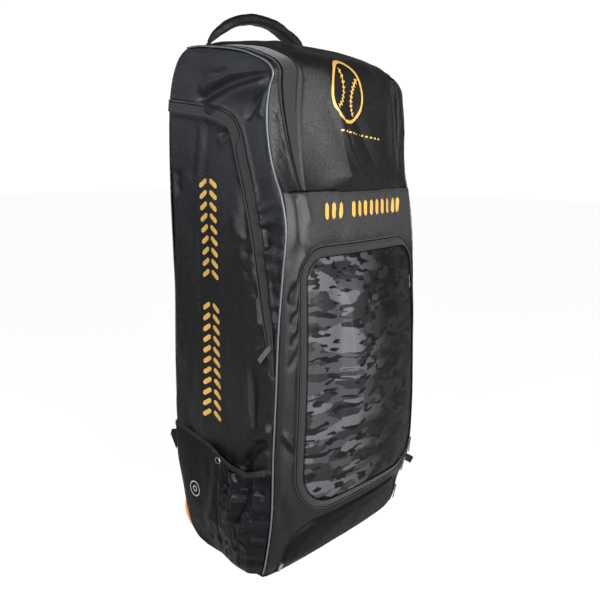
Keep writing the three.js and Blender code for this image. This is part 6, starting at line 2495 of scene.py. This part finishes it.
@dataclass
class GoldMotifs(Assembly):
    """Generic printed marks: a ball-seam column on each side, a row of dashes and a seamed ball in front."""

    panels: SidePanels
    lid: Lid
    column_rows: int = 22
    column_gap: tuple[int, ...] = (9, 10)
    column_top: float = 708.0
    column_pitch: float = 20.4
    ball_centre: tuple[float, ...] = (-40.0, 862.0)
    ball_radius: float = 42.0
    seam_radius: float = 36.0
    ring_centre: tuple[float, ...] = (64.0, 113.0)

    @staticmethod
    def lozenge(centre: Array, way: Array, length: float, width: float) -> Array:
        """A dash with round ends as a small grid.

        Args:
            centre: its middle in the plane.
            way: its direction in the plane.
            length: its length.
            width: its width.

        Returns:
            Grid of plane points.
        """
        way = np.asarray(way, float) / np.hypot(*way)
        aside = np.array([-way[1], way[0]])
        place = np.linspace(-1, 1, 9)
        end = np.sqrt(np.maximum(1 - np.abs(place) ** 6, 0.0))
        across = np.linspace(-1, 1, 5)
        return (np.asarray(centre) + way * (place * length / 2)[:, None, None]
                + aside * (end[:, None] * across[None, :])[..., None] * width / 2)

    @staticmethod
    def arc(centre: Point2, radius: float, width: float, start: float, end: float, steps: int = 60) -> Array:
        """A ring or part of one as a grid of plane points.

        Args:
            centre: its middle.
            radius: its radius.
            width: its width.
            start: where it starts.
            end: where it ends.
            steps: number of points along it.

        Returns:
            Grid of plane points.
        """
        angle = np.radians(np.linspace(start, end, steps))[:, None]
        reach = radius + np.linspace(-0.5, 0.5, 4)[None, :] * width
        return np.stack([centre[0] + reach * np.cos(angle), centre[1] + reach * np.sin(angle)], -1)

    def side_shapes(self) -> list[Array]:
        """Plane shapes of the side's column: slanted pairs of dashes, in two runs with a gap between."""
        shapes = []
        for row in range(self.column_rows):
            if row in self.column_gap:
                continue
            centre, z = 26 - row * 0.6, self.column_top - row * self.column_pitch
            for aside in (-1, 1):
                shapes.append(self.lozenge((centre + aside * 15, z), (1, -aside * 0.62), 26, 9.0))
        return shapes

    def build(self) -> None:
        """Prints every mark."""
        for side in Side:
            parts = MeshParts()
            for shape in self.side_shapes():
                points = self.panels.surface(shape[..., 0], shape[..., 1], side.value, 0.35)
                parts.add_grid(points, (side.value, 0, 0))
            piece = parts.finish(f"side_seam_print_{side.word}")
            self.hand_over(piece, self.finishes.gold, "black_cloth")
        self.build_front_row()
        self.build_ball()
        self.build_pouch_ring()

    def build_front_row(self) -> None:
        """Prints the row of dashes below the crease."""
        front = LowerFront(self.finishes)
        parts = MeshParts()
        for index, x in enumerate(np.linspace(-98, 136, 13)):
            if index == 3:
                continue
            shape = self.lozenge((x, 666 + 0.01 * x), (0.28, 1.0), 30, 10.0)
            a, b = shape[..., 0], shape[..., 1]
            proud = FORM.crease_proud(FORM.front_station(b)) + front.relief(a, b) + 1.3
            parts.add_grid(FORM.front(a, b, proud), (0, -1, 0))
        self.hand_over(parts.finish("front_dash_print"), self.finishes.gold, "black_cloth")

    def lid_surface(self, shape: Array) -> Array:
        """Points of the lid's cloth at plane places (x, distance up and over).

        Args:
            shape: plane places of the mark.

        Returns:
            Points in millimetres.
        """
        x, travel = shape[..., 0], shape[..., 1]
        stations = np.linspace(FORM.crease, FORM.place("top middle"), 500)
        station = np.interp(travel, FORM.travel(stations), stations)
        width = FORM.seam(station, 1)[..., 0]
        proud = self.lid.proud(station) + self.lid.relief(x, travel) + 0.8
        return FORM.wrap(station, x / width, proud)

    def build_ball(self) -> None:
        """Prints the seamed ball on the lid and a short row of dots below it."""
        parts = MeshParts()
        centre, radius = self.ball_centre, self.seam_radius
        shapes = [self.arc(centre, self.ball_radius, 5.0, 0, 360, 120)]
        for offset in (-46.0, 46.0):
            bend = (centre[0] + offset, centre[1] - offset * 0.25)
            middle = math.degrees(math.atan2(centre[1] - bend[1], centre[0] - bend[0]))
            shapes.append(self.arc(bend, radius, 2.6, middle - 50, middle + 50, 50))
            for step in range(-4, 5):
                angle = math.radians(middle + step * 10.5)
                spot = (bend[0] + radius * math.cos(angle), bend[1] + radius * math.sin(angle))
                shapes.append(self.lozenge(spot, (math.cos(angle), math.sin(angle)), 9.5, 2.4))
        shapes += [self.lozenge((x, 800 - 0.1 * x), (1, 0.0), 7, 3.2) for x in np.linspace(-62, 50, 11)]
        for shape in shapes:
            parts.add_grid(self.lid_surface(shape), (0, -1, 0.2))
        self.hand_over(parts.finish("lid_ball_print"), self.finishes.gold, "black_cloth")

    def build_pouch_ring(self) -> None:
        """Prints the small white ring on each side pocket's plain part."""
        pockets = SidePockets(self.finishes)
        for side in Side:
            parts = MeshParts()
            for radius, steps in ((14.5, 60), (5.0, 40)):
                shape = self.arc(self.ring_centre, radius, 2.6, 0, 360, steps)
                y, z = shape[..., 0], shape[..., 1]
                rear, front = FORM.rear_depth(z), FORM.front_depth(z, side.value) + pockets.front_gap
                along = (y - rear) / (front - rear)
                rise = (z - FORM.base_top) / (pockets.mouth(y) - FORM.base_top)
                points = pockets.point(along, rise, side.value, pockets.lift)
                relief = pockets.relief(y, z, along, np.zeros_like(y))
                points[..., 0] += side.value * (relief + 0.5)
                parts.add_grid(points, (side.value, 0, 0))
            self.hand_over(parts.finish(f"pouch_ring_print_{side.word}"), self.finishes.white, "black_cloth")


@dataclass
class FrameNodes(Assembly):
    """The frame's own nodes that stay to be seen: the stiff base, the housings, axles, pulls and rings."""

    frame: dict

    def build(self) -> None:
        """Gives each of them its finish."""
        looks = self.finishes
        for material, nodes in (
            (looks.plastic, ("base_panel", "heel_guard", "wheel_housing_left", "wheel_housing_right")),
            (looks.steel, ("axle_left", "axle_right")),
            (looks.metal, ("bat_zip_pull_left", "bat_zip_pull_right")),
            (looks.metal, ("side_pocket_ring_left", "side_pocket_ring_right")),
            (looks.metal, ("boot_zip_pull_left", "boot_zip_pull_right")),
            (looks.metal, ("front_pocket_zip_pull_upper", "front_pocket_zip_pull_lower")),
        ):
            for node in nodes:
                found = self.frame["nodes"][node]
                if not found.material_slots:
                    found.data.materials.append(material)
                for slot in found.material_slots:
                    slot.material = material


@dataclass(frozen=True)
class Lamp:
    """A soft light panel: its place and what it faces in metres, its size, power in watts and colour."""

    name: str
    place: tuple[float, float, float]
    target: tuple[float, float, float]
    size: tuple[float, float]
    power: float
    colour: tuple[float, float, float]


@dataclass
class Studio:
    """The floor, the light and the camera."""

    camera_place: tuple[float, ...] = (-1.0233247, -0.9431048, 0.7471726)
    azimuth: float = -0.8400489
    elevation: float = 0.1946002
    roll: float = 0.0120513
    lens: float = 42.0
    sensor: float = 36.0
    floor_reach: float = 14000.0
    floor_level: float = -0.3
    lamps: tuple[Lamp, ...] = (
        Lamp("key", (-0.62, -1.95, 0.96), (-0.05, -0.1, 0.68), (0.5, 0.5), 235.0, (0.95, 0.97, 1.0)),
        Lamp("left", (-2.0, -0.62, 1.15), (-0.05, 0.0, 0.85), (0.4, 0.5), 125.0, (0.87, 0.92, 1.0)),
        Lamp("rim", (-1.35, 1.0, 1.35), (-0.15, 0.0, 0.85), (0.35, 0.5), 16.0, (0.85, 0.91, 1.0)),
    )

    def build(self) -> None:
        """Makes the whole studio."""
        self.build_camera()
        self.build_floor()
        self.build_lights()

    def build_camera(self) -> None:
        """Sets the camera at the photograph's place and angle."""
        az, el, roll = self.azimuth, self.elevation, self.roll
        back = np.array([math.sin(az) * math.cos(el), -math.cos(az) * math.cos(el), math.sin(el)])
        right = np.array([math.cos(az), math.sin(az), 0.0])
        up = np.cross(back, right)
        turned_right = math.cos(roll) * right + math.sin(roll) * up
        turned_up = -math.sin(roll) * right + math.cos(roll) * up
        data = bpy.data.cameras.new("camera")
        data.lens, data.sensor_width = self.lens, self.sensor
        data.clip_start, data.clip_end = 0.05, 60.0
        camera = bpy.data.objects.new("camera", data)
        self.stand(camera, self.camera_place, (turned_right, turned_up, back))
        bpy.context.scene.camera = camera

    @staticmethod
    def stand(item: bpy.types.Object, place: Sequence[float], axes: Sequence[Array]) -> None:
        """Puts a camera or a lamp in the scene.

        Args:
            item: the camera or lamp.
            place: where it stands, in metres.
            axes: its right, up and back directions.
        """
        matrix = Matrix.Identity(4)
        for row in range(3):
            for column, axis in enumerate(axes):
                matrix[row][column] = axis[row]
            matrix[row][3] = place[row]
        item.matrix_world = matrix
        bpy.context.scene.collection.objects.link(item)

    def build_floor(self) -> None:
        """Lays the floor, which glows: a painted soft white pool of light round and beyond the bag, which
        fades to grey.
        """
        reach, level = self.floor_reach, self.floor_level
        corners = np.array([[(x, y, level) for x in (-reach, reach)] for y in (-reach, reach)])
        floor = MeshParts().add_grid(corners, (0, 0, 1)).finish("studio_floor", smooth=False)
        shader = Shader("studio_floor")
        x, y, _ = shader.coordinates("Object")
        x, y = x - self.camera_place[0], y - self.camera_place[1]
        ahead = y * math.cos(self.azimuth) - x * math.sin(self.azimuth)
        aside = (x * math.cos(self.azimuth) + y * math.sin(self.azimuth)).absolute()
        pool = 1.0 - (aside - ahead * 0.46).step(0.15, 1.1)
        pool = pool * ahead.step(0.7, 1.05)
        # The floor glows by emission though it is no lamp: the pool is painted light, and it also lights the
        # bag from below.
        glow = shader.blend(pool, (0.12, 0.12, 0.12), (1.0, 1.0, 1.0))
        shader.set(Base_Color=(0.06, 0.06, 0.06), Roughness=0.95, Specular_IOR_Level=0.0,
                   Emission_Color=glow, Emission_Strength=0.97)
        floor.data.materials.append(shader.material)

    def add_lamp(self, lamp: Lamp) -> None:
        """Adds a soft light panel.

        Args:
            lamp: the panel.
        """
        data = bpy.data.lights.new(lamp.name, "AREA")
        data.shape = "RECTANGLE"
        data.size, data.size_y = lamp.size
        data.energy = lamp.power
        data.color = lamp.colour
        back = unit(np.array(lamp.place) - np.array(lamp.target))
        right = unit(np.cross((0, 0, 1), back))
        self.stand(bpy.data.objects.new(lamp.name, data), lamp.place, (right, np.cross(back, right), back))

    @staticmethod
    def ramp(tree: bpy.types.NodeTree, value: bpy.types.NodeSocket, limits: Sequence[float]) -> Sock:
        """A smooth change of a value.

        Args:
            tree: the node tree.
            value: what is read.
            limits: where the change starts and ends, and the results there.

        Returns:
            The changed value.
        """
        node = tree.nodes.new("ShaderNodeMapRange")
        node.interpolation_type = "SMOOTHSTEP"
        for slot, number in zip(("From Min", "From Max", "To Min", "To Max"), limits):
            node.inputs[slot].default_value = number
        tree.links.new(value, node.inputs["Value"])
        return Sock(tree, node.outputs["Result"])

    def build_lights(self) -> None:
        """Sets one soft lamp beside the camera, weak ones elsewhere, and a white wall behind the bag.

        The surround is white only beyond the bag, near the floor's level, and dark behind the camera, so
        that black cloth stays black: one smooth change of direction . forward times one of its height.
        """
        world = bpy.data.worlds.new("studio")
        world.use_nodes = True
        tree = world.node_tree
        way = tree.nodes.new("ShaderNodeTexCoord").outputs["Generated"]
        ahead = tree.nodes.new("ShaderNodeVectorMath")
        ahead.operation = "DOT_PRODUCT"
        ahead.inputs[1].default_value = (-math.sin(self.azimuth), math.cos(self.azimuth), 0.0)
        tree.links.new(way, ahead.inputs[0])
        height = tree.nodes.new("ShaderNodeSeparateXYZ")
        tree.links.new(way, height.inputs[0])
        white = self.ramp(tree, ahead.outputs["Value"], (0.45, 0.75, 0.2, 1.05))
        low = self.ramp(tree, height.outputs["Z"], (0.24, 0.42, 1.0, 0.15))
        background = tree.nodes["Background"]
        tree.links.new((white * low).socket, background.inputs["Strength"])
        background.inputs["Color"].default_value = (1.0, 1.0, 1.0, 1.0)
        bpy.context.scene.world = world
        for lamp in self.lamps:
            self.add_lamp(lamp)
        bpy.context.scene.view_settings.view_transform = "Standard"


def main() -> None:
    """Builds the bag round its frame."""
    logging.basicConfig(level=logging.INFO, format="%(name)s %(message)s")
    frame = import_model()
    Studio().build()
    finishes = Finishes()
    cloth = SideCloth()
    panels = SidePanels(finishes, cloth)
    lid = Lid(finishes)
    groups = [panels, BatZips(finishes, cloth, panels), SeamPiping(finishes), lid]
    groups += [kind(finishes) for kind in (
        LowerFront, FrontPocket, BootCompartment, SidePockets, BackPanel, GrabHandle, ShoulderStraps,
        SewnTabs, Wheels,
    )]
    groups += [GoldMotifs(finishes, panels, lid), FrameNodes(finishes, frame)]
    for group in groups:
        group.build()
    log.info("%d triangles added", sum(group.triangles for group in groups))


if __name__ == "__main__":
    main()
